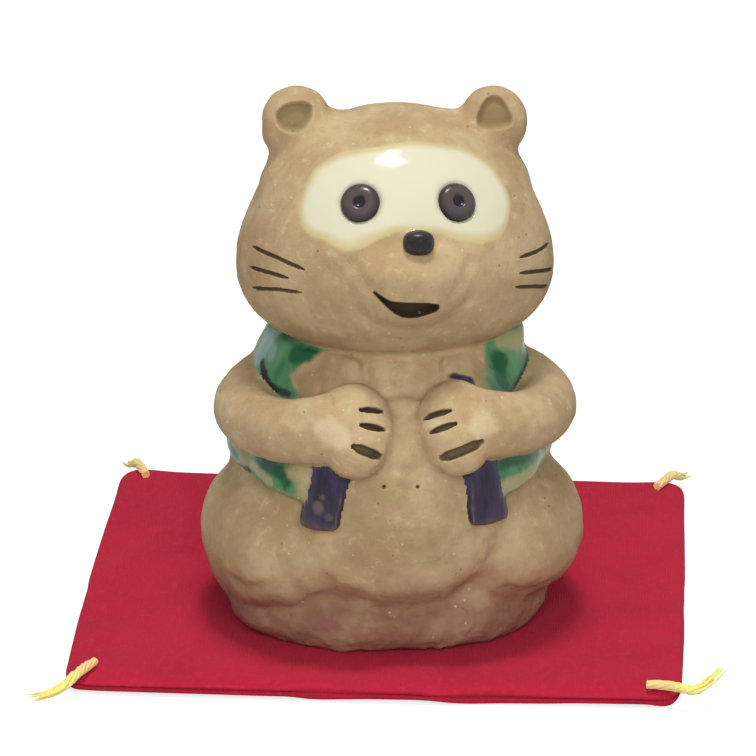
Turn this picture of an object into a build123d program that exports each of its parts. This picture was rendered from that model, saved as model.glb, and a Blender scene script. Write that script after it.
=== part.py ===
from build123d import *
from math import radians, sqrt, tan
import os

# A seated clay raccoon-dog that drums on its belly, on a thin padded mat with a yellow tuft at each corner.
# Millimetres, +Z up. The figure faces -Y, and its own left side is +X.
# The origin is on the mat's underside, below the figure's upright axis.

# Fits
slip_gap = 0.12  # the layer of slip between two clay pieces
cloth_gap = 0.05  # between the batting and its cover

# Mat
mat_width = 129.0
mat_depth = 120.0
mat_thickness = 3.4
mat_corner_radius = 4.5
mat_bow = 0.8  # how far each side bulges between its corners
mat_edge_round = 1.5
mat_turn = -8.8  # degrees: the figure stands a little turned on its mat
mat_offset = (0.6, 11.9)  # the mat's centre, from the figure's axis
cloth_thickness = 0.6

# Corner tufts: steps are offsets from the mat's corner along its width and depth, and a level,
# where 0 lies on the table and 1 lies on the mat
tuft_diameter = 2.2
tuft_bend_share = 0.45  # how much of a run its bends take up at each end
tuft_routes = {
    "front_right": [(-1, -1), (6.4, 6.6, 1.03), (4.8, 3.2, 1.07), (3.4, -0.6, 1.13),
                    (1.0, -3.2, 0.54), (-2.6, -4.0, 0.07), (-6.8, -5.4, 0.01)],
    "front_left": [(1, -1), (-7.4, 1.8, 1.03), (-3.8, 1.6, 1.07), (-0.2, -0.4, 1.13),
                   (2.8, -1.4, 1.05), (5.8, 0.4, 1.6), (8.6, 2.8, 2.4)],
    "back_left": [(1, 1), (-6.0, -7.4, 1.03), (-4.4, -4.0, 1.07), (-2.6, -0.4, 1.13),
                  (-1.2, 3.2, 0.6), (-0.4, 6.6, 0.1), (0.8, 10.2, 0.01)],
    "back_right": [(-1, 1), (6.0, -7.2, 1.03), (4.8, -3.8, 1.07), (3.2, -0.2, 1.13),
                   (2.2, 3.4, 0.6), (1.0, 6.8, 0.1), (-0.6, 10.4, 0.01)],
}

# Body, with heights above the figure's foot
wall = 4.5
torso_height = 18.0  # level of the torso's widest section
torso_half_width = 35.0
torso_half_depth = 30.0
torso_rise = 62.0
torso_drop = 40.0
belly_height = 33.0
belly_forward = 10.0
belly_half_width = 30.0
belly_half_depth = 28.0
belly_half_height = 33.0
neck_height = 63.0
neck_hole_radius = 9.0
vent_radius = 11.0  # the kiln vent in the foot

# Folded legs: a round haunch and a shin that lies across the front
haunch_inset = 13.5  # from the torso's side to the haunch's middle
haunch_forward = 5.0
haunch_height = 19.5
haunch_half_width = 19.4
haunch_half_depth = 26.0
haunch_half_height = 16.8
shin_across = 14.6
shin_inset = 10.5  # from the torso's front to the shin's middle
shin_height = 5.5
shin_half_length = 20.0
shin_half_depth = 10.5
shin_half_height = 8.4
shin_turn = 28.0  # degrees in plan

# Tail
tail_inset = 1.0  # from the torso's back to the tail's middle
tail_height = 13.0
tail_half_width = 9.0
tail_half_depth = 8.0
tail_rise = 17.0
tail_drop = 12.4

# Head, in its own frame: heights from its widest level. It leans back, and turns and dips to its left a little
head_across = 0.5
head_forward = 5.0
head_above_neck = 16.0
head_tilt = -12.0  # degrees
head_dip = 1.4  # degrees
head_turn = 1.4  # degrees
head_half_width = 33.3
head_half_depth = 28.0
head_rise = 32.3
head_drop = 20.8
head_seam = 3.0  # where the front and back halves of the head meet
muzzle_stand = 3.6  # how far the muzzle stands out of the skull
muzzle_drop = 1.5
muzzle_half_width = 15.0
muzzle_half_depth = 12.6
muzzle_half_height = 10.8

# Face and ears
ear_across = 21.2
ear_forward = 3.5
ear_lift = 3.6  # from the skull to the ear's middle
ear_radius = 7.0
ear_half_depth = 5.2
ear_turn = 12.0  # degrees outward
ear_hollow_radius = 4.2
ear_hollow_depth = 2.8
ear_hollow_drop = 0.4
eye_across = 10.1
eye_height = 14.4
eye_radius = 4.0
eye_stand = 0.8  # how far an eye stands out of its socket
eye_round = 0.6
eye_socket_depth = 2.0
pupil_radius = 1.25
pupil_depth = 1.0
nose_across = 1.4
nose_rise = 8.1  # above the muzzle's middle
nose_stand = 1.7  # from the muzzle to the nose's middle
nose_half_width = 3.2
nose_half_depth = 2.8
nose_half_height = 2.5
mouth_right = (-8.6, -2.2)  # across and height: the corner that is drawn up
mouth_middle = (-3.2, -4.9)
mouth_left = (6.3, -5.3)
mouth_opening = 2.7
mouth_sag = 2.0  # how far the lower lip hangs below its left end

# Vest and its collar bands
vest_thickness = 1.4
vest_hem_height = 35.4
band_thickness = 2.0
band_width = 6.8
band_top_across = 11.6  # at the neck
band_bottom_across = 18.0
band_below_hem = 4.8

# Arms: an arc from shoulder to wrist, ending in a flat hand with three finger slits.
# Insets are from the torso's side or the belly's front to the middle of the arm, and heights from the neck down
shoulder_inset = 12.5
shoulder_back = 4.0
shoulder_below_neck = 11.6
elbow_inset = 4.2
elbow_forward = 9.0
elbow_below_neck = 14.0
wrist_across = 13.5
wrist_inset = 5.0
wrist_below_neck = 10.6
arm_sections = [(0.0, 6.2, 6.4), (0.4, 7.1, 6.3), (0.7, 6.8, 6.5), (1.0, 6.0, 7.6)]  # share, thickness, height
hand_across = 10.4
hand_inset = 4.4
hand_below_neck = 11.4
hand_half_width = 8.0
hand_half_depth = 5.4
hand_half_height = 10.2
hand_tilt = -30.0  # degrees: the hand leans back with the belly
finger_slits_each = 3
finger_slit_width = 1.3
finger_slit_length = 6.4
finger_slit_depth = 3.0
finger_slit_overrun = 1.0  # past the finger tips
finger_pitch = 4.7

# Places that follow from these sizes
foot = Location((0, 0, mat_thickness))
belly_front = -belly_forward - belly_half_depth
head_frame = Location((head_across, -head_forward, mat_thickness + neck_height + head_above_neck),
                      (head_tilt, head_dip, head_turn))
muzzle_place = (0, muzzle_half_depth - head_half_depth - muzzle_stand, -muzzle_drop)
ear_place = (ear_across, -ear_forward, ear_lift + head_rise * sqrt(1 - (ear_across / head_half_width) ** 2))
haunch_place = (torso_half_width - haunch_inset, -haunch_forward, haunch_height)
shin_place = (shin_across, shin_inset - torso_half_depth, shin_height)
tail_place = (0, torso_half_depth - tail_inset, tail_height)
arm_shoulder = (torso_half_width - shoulder_inset, shoulder_back, neck_height - shoulder_below_neck)
arm_elbow = (torso_half_width - elbow_inset, -elbow_forward, neck_height - elbow_below_neck)
arm_wrist = (wrist_across, belly_front + wrist_inset, neck_height - wrist_below_neck)
hand_place = (hand_across, belly_front + hand_inset, neck_height - hand_below_neck)
mat_plane = Plane((mat_offset[0], mat_offset[1], 0)).rotated((0, 0, mat_turn))
far = 200.0  # longer than any piece, for cutters that run right through


# General forms

def egg(place, half_width, half_depth, rise, drop, tilt=0.0, turn=0.0):
    """A round form: two quarter ellipses spun about the upright axis, then flattened front to back."""
    with BuildPart() as form:
        with BuildSketch(Plane.XZ):
            with BuildLine():
                EllipticalCenterArc((0, 0), half_width, rise, start_angle=0, arc_size=90)
                EllipticalCenterArc((0, 0), half_width, drop, start_angle=270, arc_size=90)
                Line((0, rise), (0, -drop))
            make_face()
        revolve(axis=Axis.Z)
        scale(by=(1, half_depth / half_width, 1))
    return form.part.moved(Location(place, (tilt, 0, turn)))


def front_point(place, half_width, half_depth, rise, across, height):
    """The point on an egg's upper front, across and above its middle, and the outward direction there."""
    forward = half_depth * sqrt(1 - (across / half_width) ** 2 - (height / rise) ** 2)
    outward = Vector(across / half_width**2, -forward / half_depth**2, height / rise**2)
    return Vector(place) + Vector(across, -forward, height), outward.normalized()


def front_cutter(*outline):
    """A cutter with a straight-sided outline in the front view, from the middle of the figure forward."""
    with BuildPart() as form:
        with BuildSketch(Plane.XZ):
            with BuildLine():
                Polyline(*outline, close=True)
            make_face()
        extrude(amount=far)
    return form.part.moved(foot)


# Body

def body_form(grow=0.0):
    """The torso and the belly together, from the flat foot to the flat neck, all grown by one distance."""
    torso = egg((0, 0, torso_height), torso_half_width + grow, torso_half_depth + grow,
                torso_rise + grow, torso_drop + grow)
    belly = egg((0, -belly_forward, belly_height), belly_half_width + grow, belly_half_depth + grow,
                belly_half_height + grow, belly_half_height + grow)
    with BuildPart() as form:
        add(torso)
        add(belly)
        split(bisect_by=Plane.XY.offset(-grow), keep=Keep.TOP)
        split(bisect_by=Plane.XY.offset(neck_height + grow), keep=Keep.BOTTOM)
    return form.part.moved(foot)


body_outside = body_form()
body_clear = body_form(slip_gap)
body_hollow = body_form(-wall)

with BuildPart() as body:
    add(body_outside)
    add(body_hollow, mode=Mode.SUBTRACT)
    with Locations(foot):
        Cylinder(vent_radius, wall, align=(Align.CENTER, Align.CENTER, Align.MIN), mode=Mode.SUBTRACT)
    with Locations(foot * Location((0, 0, neck_height))):
        Cylinder(neck_hole_radius, wall, align=(Align.CENTER, Align.CENTER, Align.MAX), mode=Mode.SUBTRACT)

with BuildPart() as body_front:
    add(body.part)
    split(bisect_by=Plane.XZ.offset(slip_gap / 2), keep=Keep.TOP)

with BuildPart() as body_back:
    add(body.part)
    split(bisect_by=Plane.XZ.offset(-slip_gap / 2), keep=Keep.BOTTOM)


# Head, built in its own frame

def head_form(grow=0.0):
    """The skull and the muzzle, in the head's own frame, grown by one distance."""
    skull = egg((0, 0, 0), head_half_width + grow, head_half_depth + grow,
                head_rise + grow, head_drop + grow)
    muzzle = egg(muzzle_place, muzzle_half_width + grow, muzzle_half_depth + grow,
                 muzzle_half_height + grow, muzzle_half_height + grow)
    with BuildPart() as form:
        add(skull)
        add(muzzle)
    return form.part


def eye_plane(side):
    """The plane on the skull under an eye: side 1 is the figure's left."""
    point, outward = front_point((0, 0, 0), head_half_width, head_half_depth, head_rise,
                                 side * eye_across, eye_height)
    return Plane(point, z_dir=outward)


def nose_form(grow=0.0):
    """The nose pellet on the muzzle, in the head's frame."""
    seat, outward = front_point(muzzle_place, muzzle_half_width, muzzle_half_depth, muzzle_half_height,
                                nose_across, nose_rise)
    return egg(seat - Vector(0, nose_stand), nose_half_width + grow, nose_half_depth + grow,
               nose_half_height + grow, nose_half_height + grow)


head_outside = head_form()
head_clear = head_form(slip_gap)
head_hollow = head_form(-wall)
neck_seat = head_frame.inverse() * body_clear
nose_socket = nose_form(slip_gap)

with BuildPart() as mouth:
    with BuildSketch(Plane.XZ.offset(far)):
        with BuildLine():
            upper_lip = ThreePointArc(mouth_right, mouth_middle, mouth_left)
            corner = Line(upper_lip @ 1, upper_lip @ 1 - (0, mouth_opening))
            lower_middle = (corner @ 1 + upper_lip @ 0) / 2 - (0, mouth_opening / 2 + mouth_sag)
            ThreePointArc(corner @ 1, lower_middle, upper_lip @ 0)
        make_face()
    extrude(amount=-far)

with BuildPart() as head:
    add(head_outside)
    add(head_hollow, mode=Mode.SUBTRACT)
    add(neck_seat, mode=Mode.SUBTRACT)
    with Locations(head_frame.inverse() * foot * Location((0, 0, neck_height))):
        Cylinder(neck_hole_radius, 2 * wall, mode=Mode.SUBTRACT)
    add(mouth.part, mode=Mode.SUBTRACT)
    add(nose_socket, mode=Mode.SUBTRACT)
    for side in (1, -1):
        with Locations(eye_plane(side).offset(-eye_socket_depth)):
            Cylinder(eye_radius + slip_gap, far, align=(Align.CENTER, Align.CENTER, Align.MIN),
                     mode=Mode.SUBTRACT)

with BuildPart() as head_front:
    add(head.part)
    split(bisect_by=Plane.XZ.offset(slip_gap / 2 - head_seam), keep=Keep.TOP)

with BuildPart() as head_back:
    add(head.part)
    split(bisect_by=Plane.XZ.offset(-slip_gap / 2 - head_seam), keep=Keep.BOTTOM)

with BuildPart() as nose:
    add(nose_form())


def eye(side):
    """A clay pellet with a pricked pupil, pressed into its socket."""
    with BuildPart() as pellet:
        with BuildSketch(eye_plane(side).offset(slip_gap - eye_socket_depth)):
            Circle(eye_radius)
        extrude(amount=eye_socket_depth + eye_stand - slip_gap)
        crown = pellet.faces().sort_by(Axis(eye_plane(side).origin, eye_plane(side).z_dir))[-1]
        fillet(crown.edges(), eye_round)
        with Locations(eye_plane(side).offset(eye_stand)):
            Hole(pupil_radius, pupil_depth)
    return pellet.part


ear_body = egg((0, 0, 0), ear_radius, ear_half_depth, ear_radius, ear_radius)
ear_hollow = egg((0, -ear_half_depth, -ear_hollow_drop), ear_hollow_radius, ear_hollow_depth,
                 ear_hollow_radius, ear_hollow_radius)
ear_frame = Location(ear_place, (0, 0, ear_turn))

with BuildPart() as left_ear:
    add(ear_body.moved(ear_frame))
    add(ear_hollow.moved(ear_frame), mode=Mode.SUBTRACT)
    add(head_clear, mode=Mode.SUBTRACT)

right_ear = mirror(left_ear.part, about=Plane.YZ)


# Vest and collar bands: skins of even thickness over the body, cut to their outlines

def collar_edge(offset_out, grow):
    """The collar's line in the front view, moved outward: its points at the neck and below the hem."""
    return [(band_top_across + offset_out, neck_height + grow),
            (band_bottom_across + offset_out, vest_hem_height - band_below_hem - grow)]


def band_form(grow=0.0):
    """The figure's left collar band, grown by one distance."""
    inner = collar_edge(-band_width / 2 - grow, grow)
    outer = collar_edge(band_width / 2 + grow, grow)
    outline = front_cutter(inner[0], outer[0], outer[1], inner[1])
    with BuildPart() as form:
        add(body_form(slip_gap + band_thickness + grow))
        add(body_clear, mode=Mode.SUBTRACT)
        add(outline, mode=Mode.INTERSECT)
    return form.part


def vest_skin(grow=0.0):
    """The vest as one skin all round, from its hem to the neck."""
    with BuildPart() as form:
        add(body_form(slip_gap + vest_thickness + grow))
        add(body_clear, mode=Mode.SUBTRACT)
        split(bisect_by=Plane.XY.offset(mat_thickness + vest_hem_height - grow), keep=Keep.TOP)
        split(bisect_by=Plane.XY.offset(mat_thickness + neck_height), keep=Keep.BOTTOM)
    return form.part


def vest_front_form(grow=0.0):
    """The figure's left front of the vest, from its collar band round to the side seam."""
    edge = collar_edge(band_width / 2 + slip_gap - grow, grow)
    outline = front_cutter(edge[0], (far, edge[0][1]), (far, edge[1][1]), edge[1])
    with BuildPart() as form:
        add(vest_skin(grow))
        add(outline, mode=Mode.INTERSECT)
        split(bisect_by=Plane.XZ.offset(slip_gap / 2 - grow), keep=Keep.TOP)
    return form.part


def vest_back_form(grow=0.0):
    """The back of the vest, from side seam to side seam."""
    with BuildPart() as form:
        add(vest_skin(grow))
        split(bisect_by=Plane.XZ.offset(grow - slip_gap / 2), keep=Keep.BOTTOM)
    return form.part


head_over_vest = head_frame * head_clear
vest_front_outside = vest_front_form()
vest_front_clear = vest_front_form(slip_gap)
vest_back_outside = vest_back_form()
vest_back_clear = vest_back_form(slip_gap)
band_outside = band_form()
band_clear = band_form(slip_gap)


def under_head(form):
    """A piece cut clear of the head above it."""
    with BuildPart() as piece:
        add(form)
        add(head_over_vest, mode=Mode.SUBTRACT)
    return piece.part


left_vest_front = under_head(vest_front_outside)
right_vest_front = under_head(mirror(vest_front_outside, about=Plane.YZ))
vest_back = under_head(vest_back_outside)
left_collar_band = under_head(band_outside)
right_collar_band = under_head(mirror(band_outside, about=Plane.YZ))


# Legs and tail

haunch = egg(haunch_place, haunch_half_width, haunch_half_depth, haunch_half_height, haunch_half_height)
shin = egg(shin_place, shin_half_length, shin_half_depth, shin_half_height, shin_half_height, turn=shin_turn)

with BuildPart() as leg_form:
    add(haunch)
    add(shin)
    split(bisect_by=Plane.XY, keep=Keep.TOP)
    split(bisect_by=Plane.YZ.offset(slip_gap / 2), keep=Keep.TOP)

with BuildPart() as left_leg:
    add(leg_form.part.moved(foot))
    add(body_clear, mode=Mode.SUBTRACT)
    add(vest_front_clear, mode=Mode.SUBTRACT)
    add(vest_back_clear, mode=Mode.SUBTRACT)
    add(band_clear, mode=Mode.SUBTRACT)

right_leg = mirror(left_leg.part, about=Plane.YZ)

tail_form = egg(tail_place, tail_half_width, tail_half_depth, tail_rise, tail_drop).moved(foot)

with BuildPart() as tail:
    add(tail_form)
    add(body_clear, mode=Mode.SUBTRACT)
    add(vest_back_clear, mode=Mode.SUBTRACT)


# Arms

hand_frame = foot * Location(hand_place, (hand_tilt, 0, 0))

with BuildLine() as arm_line:
    ThreePointArc(arm_shoulder, arm_elbow, arm_wrist)

with BuildPart() as arm_limb:
    for share, half_thickness, half_height in arm_sections:
        along = arm_line.line % share
        with BuildSketch(Plane(arm_line.line @ share, x_dir=along.cross(Vector(0, 0, 1)), z_dir=along)):
            Ellipse(half_thickness, half_height)
    loft()

shoulder_cap = egg(arm_shoulder, arm_sections[0][1], arm_sections[0][1], arm_sections[0][2], arm_sections[0][2])
hand_pad = egg((0, 0, 0), hand_half_width, hand_half_depth, hand_half_height, hand_half_height)

with BuildPart() as finger_slits:
    with BuildSketch(Plane.XZ.offset(hand_half_depth - finger_slit_depth)):
        with Locations((finger_slit_length / 2 - finger_slit_overrun - hand_half_width, 0)):
            with GridLocations(0, finger_pitch, 1, finger_slits_each):
                SlotOverall(finger_slit_length, finger_slit_width)
    extrude(amount=far)

with BuildPart() as arm:
    add(arm_limb.part.moved(foot))
    add(shoulder_cap.moved(foot))
    add(hand_pad.moved(hand_frame))
    add(finger_slits.part.moved(hand_frame), mode=Mode.SUBTRACT)
    add(body_clear, mode=Mode.SUBTRACT)
    add(vest_front_clear, mode=Mode.SUBTRACT)
    add(vest_back_clear, mode=Mode.SUBTRACT)
    add(band_clear, mode=Mode.SUBTRACT)

left_arm = under_head(arm.part)
right_arm = under_head(mirror(arm.part, about=Plane.YZ))


# Mat: a thin pad in a two-sided cover

def mat_form(inset=0.0):
    """The pad's form, taken in by one distance on every side."""
    half_width, half_depth = mat_width / 2 - inset, mat_depth / 2 - inset
    corners = [(-half_width, -half_depth), (half_width, -half_depth), (half_width, half_depth),
               (-half_width, half_depth)]
    middles = [(0, -half_depth - mat_bow), (half_width + mat_bow, 0), (0, half_depth + mat_bow),
               (-half_width - mat_bow, 0)]
    with BuildPart() as form:
        with BuildSketch(mat_plane.offset(inset)) as outline:
            with BuildLine():
                for corner, middle, after in zip(corners, middles, corners[1:] + corners[:1]):
                    ThreePointArc(corner, middle, after)
            make_face()
            fillet(outline.vertices(), mat_corner_radius - inset)
        extrude(amount=mat_thickness - 2 * inset)
        rims = form.faces().filter_by(Axis.Z).edges()
        fillet(rims, mat_edge_round - inset)
    return form.part


mat_outside = mat_form()
mat_inside = mat_form(cloth_thickness)
mat_seam = Plane.XY.offset(mat_thickness / 2)

with BuildPart() as mat_cover:
    add(mat_outside)
    add(mat_inside, mode=Mode.SUBTRACT)

with BuildPart() as mat_top_cover:
    add(mat_cover.part)
    split(bisect_by=mat_seam, keep=Keep.TOP)

with BuildPart() as mat_bottom_cover:
    add(mat_cover.part)
    split(bisect_by=mat_seam, keep=Keep.BOTTOM)

with BuildPart() as mat_batting:
    add(mat_form(cloth_thickness + cloth_gap))


def tuft(route):
    """A yellow tuft: it leaves a stitch near the mat's corner, crosses the edge and lies free."""
    (side_x, side_y), *steps = route
    lowest = tuft_diameter / 2 + cloth_gap
    points = []
    for along_width, along_depth, level in steps:
        step = Vector(side_x * mat_width / 2 + along_width, side_y * mat_depth / 2 + along_depth,
                      lowest + level * mat_thickness)
        points.append(mat_plane.from_local_coords(step))
    bends = []
    for before, point, after in zip(points, points[1:], points[2:]):
        first, second = point - before, after - point
        half_turn = radians(first.get_angle(second) / 2)
        bends.append(tuft_bend_share * min(first.length, second.length) / tan(half_turn))
    with BuildPart() as strand:
        with BuildLine() as line:
            FilletPolyline(*points, radius=bends)
        with BuildSketch(Plane(line.line @ 0, z_dir=line.line % 0)):
            Circle(tuft_diameter / 2)
        sweep(path=line.line)
    return strand.part


pieces = {
    "body_front_shell": body_front.part,
    "body_back_shell": body_back.part,
    "left_leg": left_leg.part,
    "right_leg": right_leg,
    "tail": tail.part,
    "head_front_shell": head_front.part.moved(head_frame),
    "head_back_shell": head_back.part.moved(head_frame),
    "left_ear": left_ear.part.moved(head_frame),
    "right_ear": right_ear.moved(head_frame),
    "nose": nose.part.moved(head_frame),
    "left_eye": eye(1).moved(head_frame),
    "right_eye": eye(-1).moved(head_frame),
    "vest_back": vest_back,
    "left_vest_front": left_vest_front,
    "right_vest_front": right_vest_front,
    "left_collar_band": left_collar_band,
    "right_collar_band": right_collar_band,
    "left_arm": left_arm,
    "right_arm": right_arm,
    "mat_top_cover": mat_top_cover.part,
    "mat_bottom_cover": mat_bottom_cover.part,
    "mat_batting": mat_batting.part,
}
for place_name, tuft_route in tuft_routes.items():
    pieces[f"{place_name}_tuft"] = tuft(tuft_route)

os.makedirs("parts", exist_ok=True)
for name, piece in pieces.items():
    piece.label = name
    export_step(piece, f"parts/{name}.step")
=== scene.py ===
import bpy
import bmesh
import math
import random
import numpy as np
from mathutils import Euler, Matrix, Vector, kdtree, noise
from mathutils.bvhtree import BVHTree


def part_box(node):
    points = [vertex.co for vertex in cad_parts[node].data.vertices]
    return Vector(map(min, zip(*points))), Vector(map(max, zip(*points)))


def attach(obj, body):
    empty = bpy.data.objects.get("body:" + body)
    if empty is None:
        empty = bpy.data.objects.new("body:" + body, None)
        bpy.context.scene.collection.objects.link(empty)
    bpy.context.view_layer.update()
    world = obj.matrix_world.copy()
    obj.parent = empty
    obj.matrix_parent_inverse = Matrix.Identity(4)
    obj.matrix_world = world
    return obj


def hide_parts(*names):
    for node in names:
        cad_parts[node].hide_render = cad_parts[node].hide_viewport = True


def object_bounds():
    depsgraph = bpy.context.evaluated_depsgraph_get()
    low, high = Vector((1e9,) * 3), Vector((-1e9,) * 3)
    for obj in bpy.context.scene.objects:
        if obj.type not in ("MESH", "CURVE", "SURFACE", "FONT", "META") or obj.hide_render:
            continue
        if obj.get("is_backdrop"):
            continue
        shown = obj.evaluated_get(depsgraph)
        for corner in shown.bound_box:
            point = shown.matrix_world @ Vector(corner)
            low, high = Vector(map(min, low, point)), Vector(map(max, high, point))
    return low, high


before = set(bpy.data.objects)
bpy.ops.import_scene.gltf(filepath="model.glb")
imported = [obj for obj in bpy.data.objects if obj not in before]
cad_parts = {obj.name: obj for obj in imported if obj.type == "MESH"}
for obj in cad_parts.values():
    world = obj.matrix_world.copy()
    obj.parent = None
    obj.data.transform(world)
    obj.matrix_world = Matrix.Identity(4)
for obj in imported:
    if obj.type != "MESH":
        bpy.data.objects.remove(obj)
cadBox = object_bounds()
mm = 0.001
scene = bpy.context.scene
print("frame loaded:", len(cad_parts), "nodes")


def linear(hexColour):  # sRGB hex to linear, with alpha
    values = [int(hexColour[place:place + 2], 16) / 255 for place in (1, 3, 5)]
    return [v / 12.92 if v <= 0.04045 else ((v + 0.055) / 1.055) ** 2.4 for v in values] + [1.0]


def addNode(tree, kind, links=None, **settings):  # links are sockets to join or values to set
    made = tree.nodes.new(kind)
    for name, value in settings.items():
        setattr(made, name, value)
    for socket, value in (links or {}).items():
        if isinstance(value, bpy.types.NodeSocket):
            tree.links.new(value, made.inputs[socket])
        else:
            made.inputs[socket].default_value = value
    return made


def newMaterial(name):
    material = bpy.data.materials.new(name)
    material.use_nodes = True
    material.node_tree.nodes.clear()
    return material, material.node_tree


def finishSurface(tree, settings, height=None, strength=0.0, depth=0.0):  # the shader, with its relief in mm
    if height is not None:
        relief = addNode(tree, "ShaderNodeBump",
                         {"Height": height, "Strength": strength, "Distance": depth * mm})
        settings["Normal"] = relief.outputs[0]
    shader = addNode(tree, "ShaderNodeBsdfPrincipled", settings)
    addNode(tree, "ShaderNodeOutputMaterial", {"Surface": shader.outputs[0]})


def meshFrom(bm, name, smooth=False):  # the finished form as a mesh
    mesh = bpy.data.meshes.new(name)
    for face in bm.faces if smooth else ():
        face.smooth = True
    bm.to_mesh(mesh)
    bm.free()
    return mesh


def addObject(name, mesh, material):
    piece = bpy.data.objects.new(name, mesh)
    scene.collection.objects.link(piece)
    mesh.materials.clear()
    mesh.materials.append(material)
    return piece


def seat(piece, body, slot, *nodes):
    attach(piece, body)
    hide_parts(*nodes)


def applied(piece):  # the piece's mesh with its modifiers, as a new mesh
    bpy.context.view_layer.update()
    graph = bpy.context.evaluated_depsgraph_get()
    return bpy.data.meshes.new_from_object(piece.evaluated_get(graph))


def meshPoints(mesh):  # in mm
    values = np.empty(len(mesh.vertices) * 3)
    mesh.vertices.foreach_get("co", values)
    return values.reshape(-1, 3) / mm


def setPoints(mesh, points):
    mesh.vertices.foreach_set("co", (points * mm).ravel())
    mesh.update()


def meshNormals(mesh):
    values = np.empty(len(mesh.vertices) * 3)
    mesh.vertex_normals.foreach_get("vector", values)
    return values.reshape(-1, 3)


def setAttribute(mesh, name, values):
    layer = mesh.attributes.new(name, "FLOAT", "POINT")
    layer.data.foreach_set("value", np.asarray(values, float).ravel())


def smoothStep(low, high, values):
    share = np.clip((np.asarray(values, float) - low) / (high - low), 0, 1)
    return share * share * (3 - 2 * share)


def noiseAt(points, size, shift=0.0):  # about -1 to 1, over a size in mm
    return np.array([noise.noise(Vector(point) / size + Vector((shift, shift, shift))) for point in points])


# Camera, where the photograph was taken from
shot = {"azimuth": -5.5, "elevation": 23.0, "distance": 1050.0, "aimHeight": 3.4, "aimPixel": (390, 596),
        "focalPixels": 4850.0, "imageSide": 756, "sensor": 36.0}

azimuth, elevation = math.radians(shot["azimuth"]), math.radians(shot["elevation"])
toward = Vector((math.sin(azimuth) * math.cos(elevation), -math.cos(azimuth) * math.cos(elevation),
                 math.sin(elevation)))
across = Vector((math.cos(azimuth), math.sin(azimuth), 0))
upward = across.cross(-toward)
halfSide = shot["imageSide"] / 2
lookAlong = (-toward * shot["focalPixels"] + across * (halfSide - shot["aimPixel"][0])
             - upward * (halfSide - shot["aimPixel"][1]))
camera = bpy.data.objects.new("camera", bpy.data.cameras.new("camera"))
scene.collection.objects.link(camera)
camera.data.sensor_width = shot["sensor"]
camera.data.lens = shot["sensor"] * shot["focalPixels"] / shot["imageSide"]
camera.location = (Vector((0, 0, shot["aimHeight"])) + toward * shot["distance"]) * mm
camera.rotation_euler = lookAlong.to_track_quat("-Z", "Y").to_euler()
scene.camera = camera
scene.view_settings.view_transform = "Standard"
print("camera set")


# Studio: a white floor that keeps the shadow, a soft box overhead and a wide fill from the front
studio = {"floorSide": 6.0, "floorDrop": 0.2, "floorColour": "#B4B4B4", "floorLift": 0.72, "worldFill": 0.3,
          "lampAim": (0, 0, 55),
          "lamps": {"key": {"place": (0, -60, 1250), "sides": (320, 130), "power": 7.6},
                    "fill": {"place": (-40, -1030, 600), "sides": (800, 800), "power": 8.4}}}


def seenDirectly(tree):  # 1 for the camera, reflections and glass, 0 for the light that falls on the object
    ray = addNode(tree, "ShaderNodeLightPath").outputs
    seen = ray["Is Camera Ray"]
    for kind in ("Is Glossy Ray", "Is Transmission Ray"):
        seen = addNode(tree, "ShaderNodeMath", {0: seen, 1: ray[kind]}, operation="MAXIMUM").outputs[0]
    return seen


floorMaterial, tree = newMaterial("paper_sweep")
lift = addNode(tree, "ShaderNodeMath", {0: seenDirectly(tree), 1: studio["floorLift"]}, operation="MULTIPLY")
paper = addNode(tree, "ShaderNodeBsdfDiffuse", {"Color": linear(studio["floorColour"])})
glow = addNode(tree, "ShaderNodeEmission", {"Color": (1, 1, 1, 1), "Strength": lift.outputs[0]})
floorShader = addNode(tree, "ShaderNodeAddShader", {0: paper.outputs[0], 1: glow.outputs[0]})
addNode(tree, "ShaderNodeOutputMaterial", {"Surface": floorShader.outputs[0]})

bm = bmesh.new()
bmesh.ops.create_grid(bm, x_segments=1, y_segments=1, size=studio["floorSide"] / 2,
                      matrix=Matrix.Translation((0, 0, -studio["floorDrop"] * mm)))
floorMesh = meshFrom(bm, "floor")
addObject("floor", floorMesh, floorMaterial)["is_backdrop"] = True

world = bpy.data.worlds.new("studio")
world.use_nodes = True
tree = world.node_tree
tree.nodes.clear()
strength = addNode(tree, "ShaderNodeMapRange", {0: seenDirectly(tree), 3: studio["worldFill"], 4: 1.0})
sky = addNode(tree, "ShaderNodeBackground", {"Color": (1, 1, 1, 1), "Strength": strength.outputs[0]})
addNode(tree, "ShaderNodeOutputWorld", {"Surface": sky.outputs[0]})
scene.world = world

for lampName, settings in studio["lamps"].items():
    lamp = bpy.data.lights.new(lampName, "AREA")
    lamp.shape = "ELLIPSE"
    lamp.size, lamp.size_y = [side * mm for side in settings["sides"]]
    lamp.energy = settings["power"]
    lampObject = bpy.data.objects.new(lampName, lamp)
    scene.collection.objects.link(lampObject)
    lampObject.location = Vector(settings["place"]) * mm
    aim = Vector(studio["lampAim"]) * mm - lampObject.location
    lampObject.rotation_euler = aim.to_track_quat("-Z", "Y").to_euler()
    lampObject.visible_glossy = lampName == "key"  # one highlight, as in the photograph
print("studio set")


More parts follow.
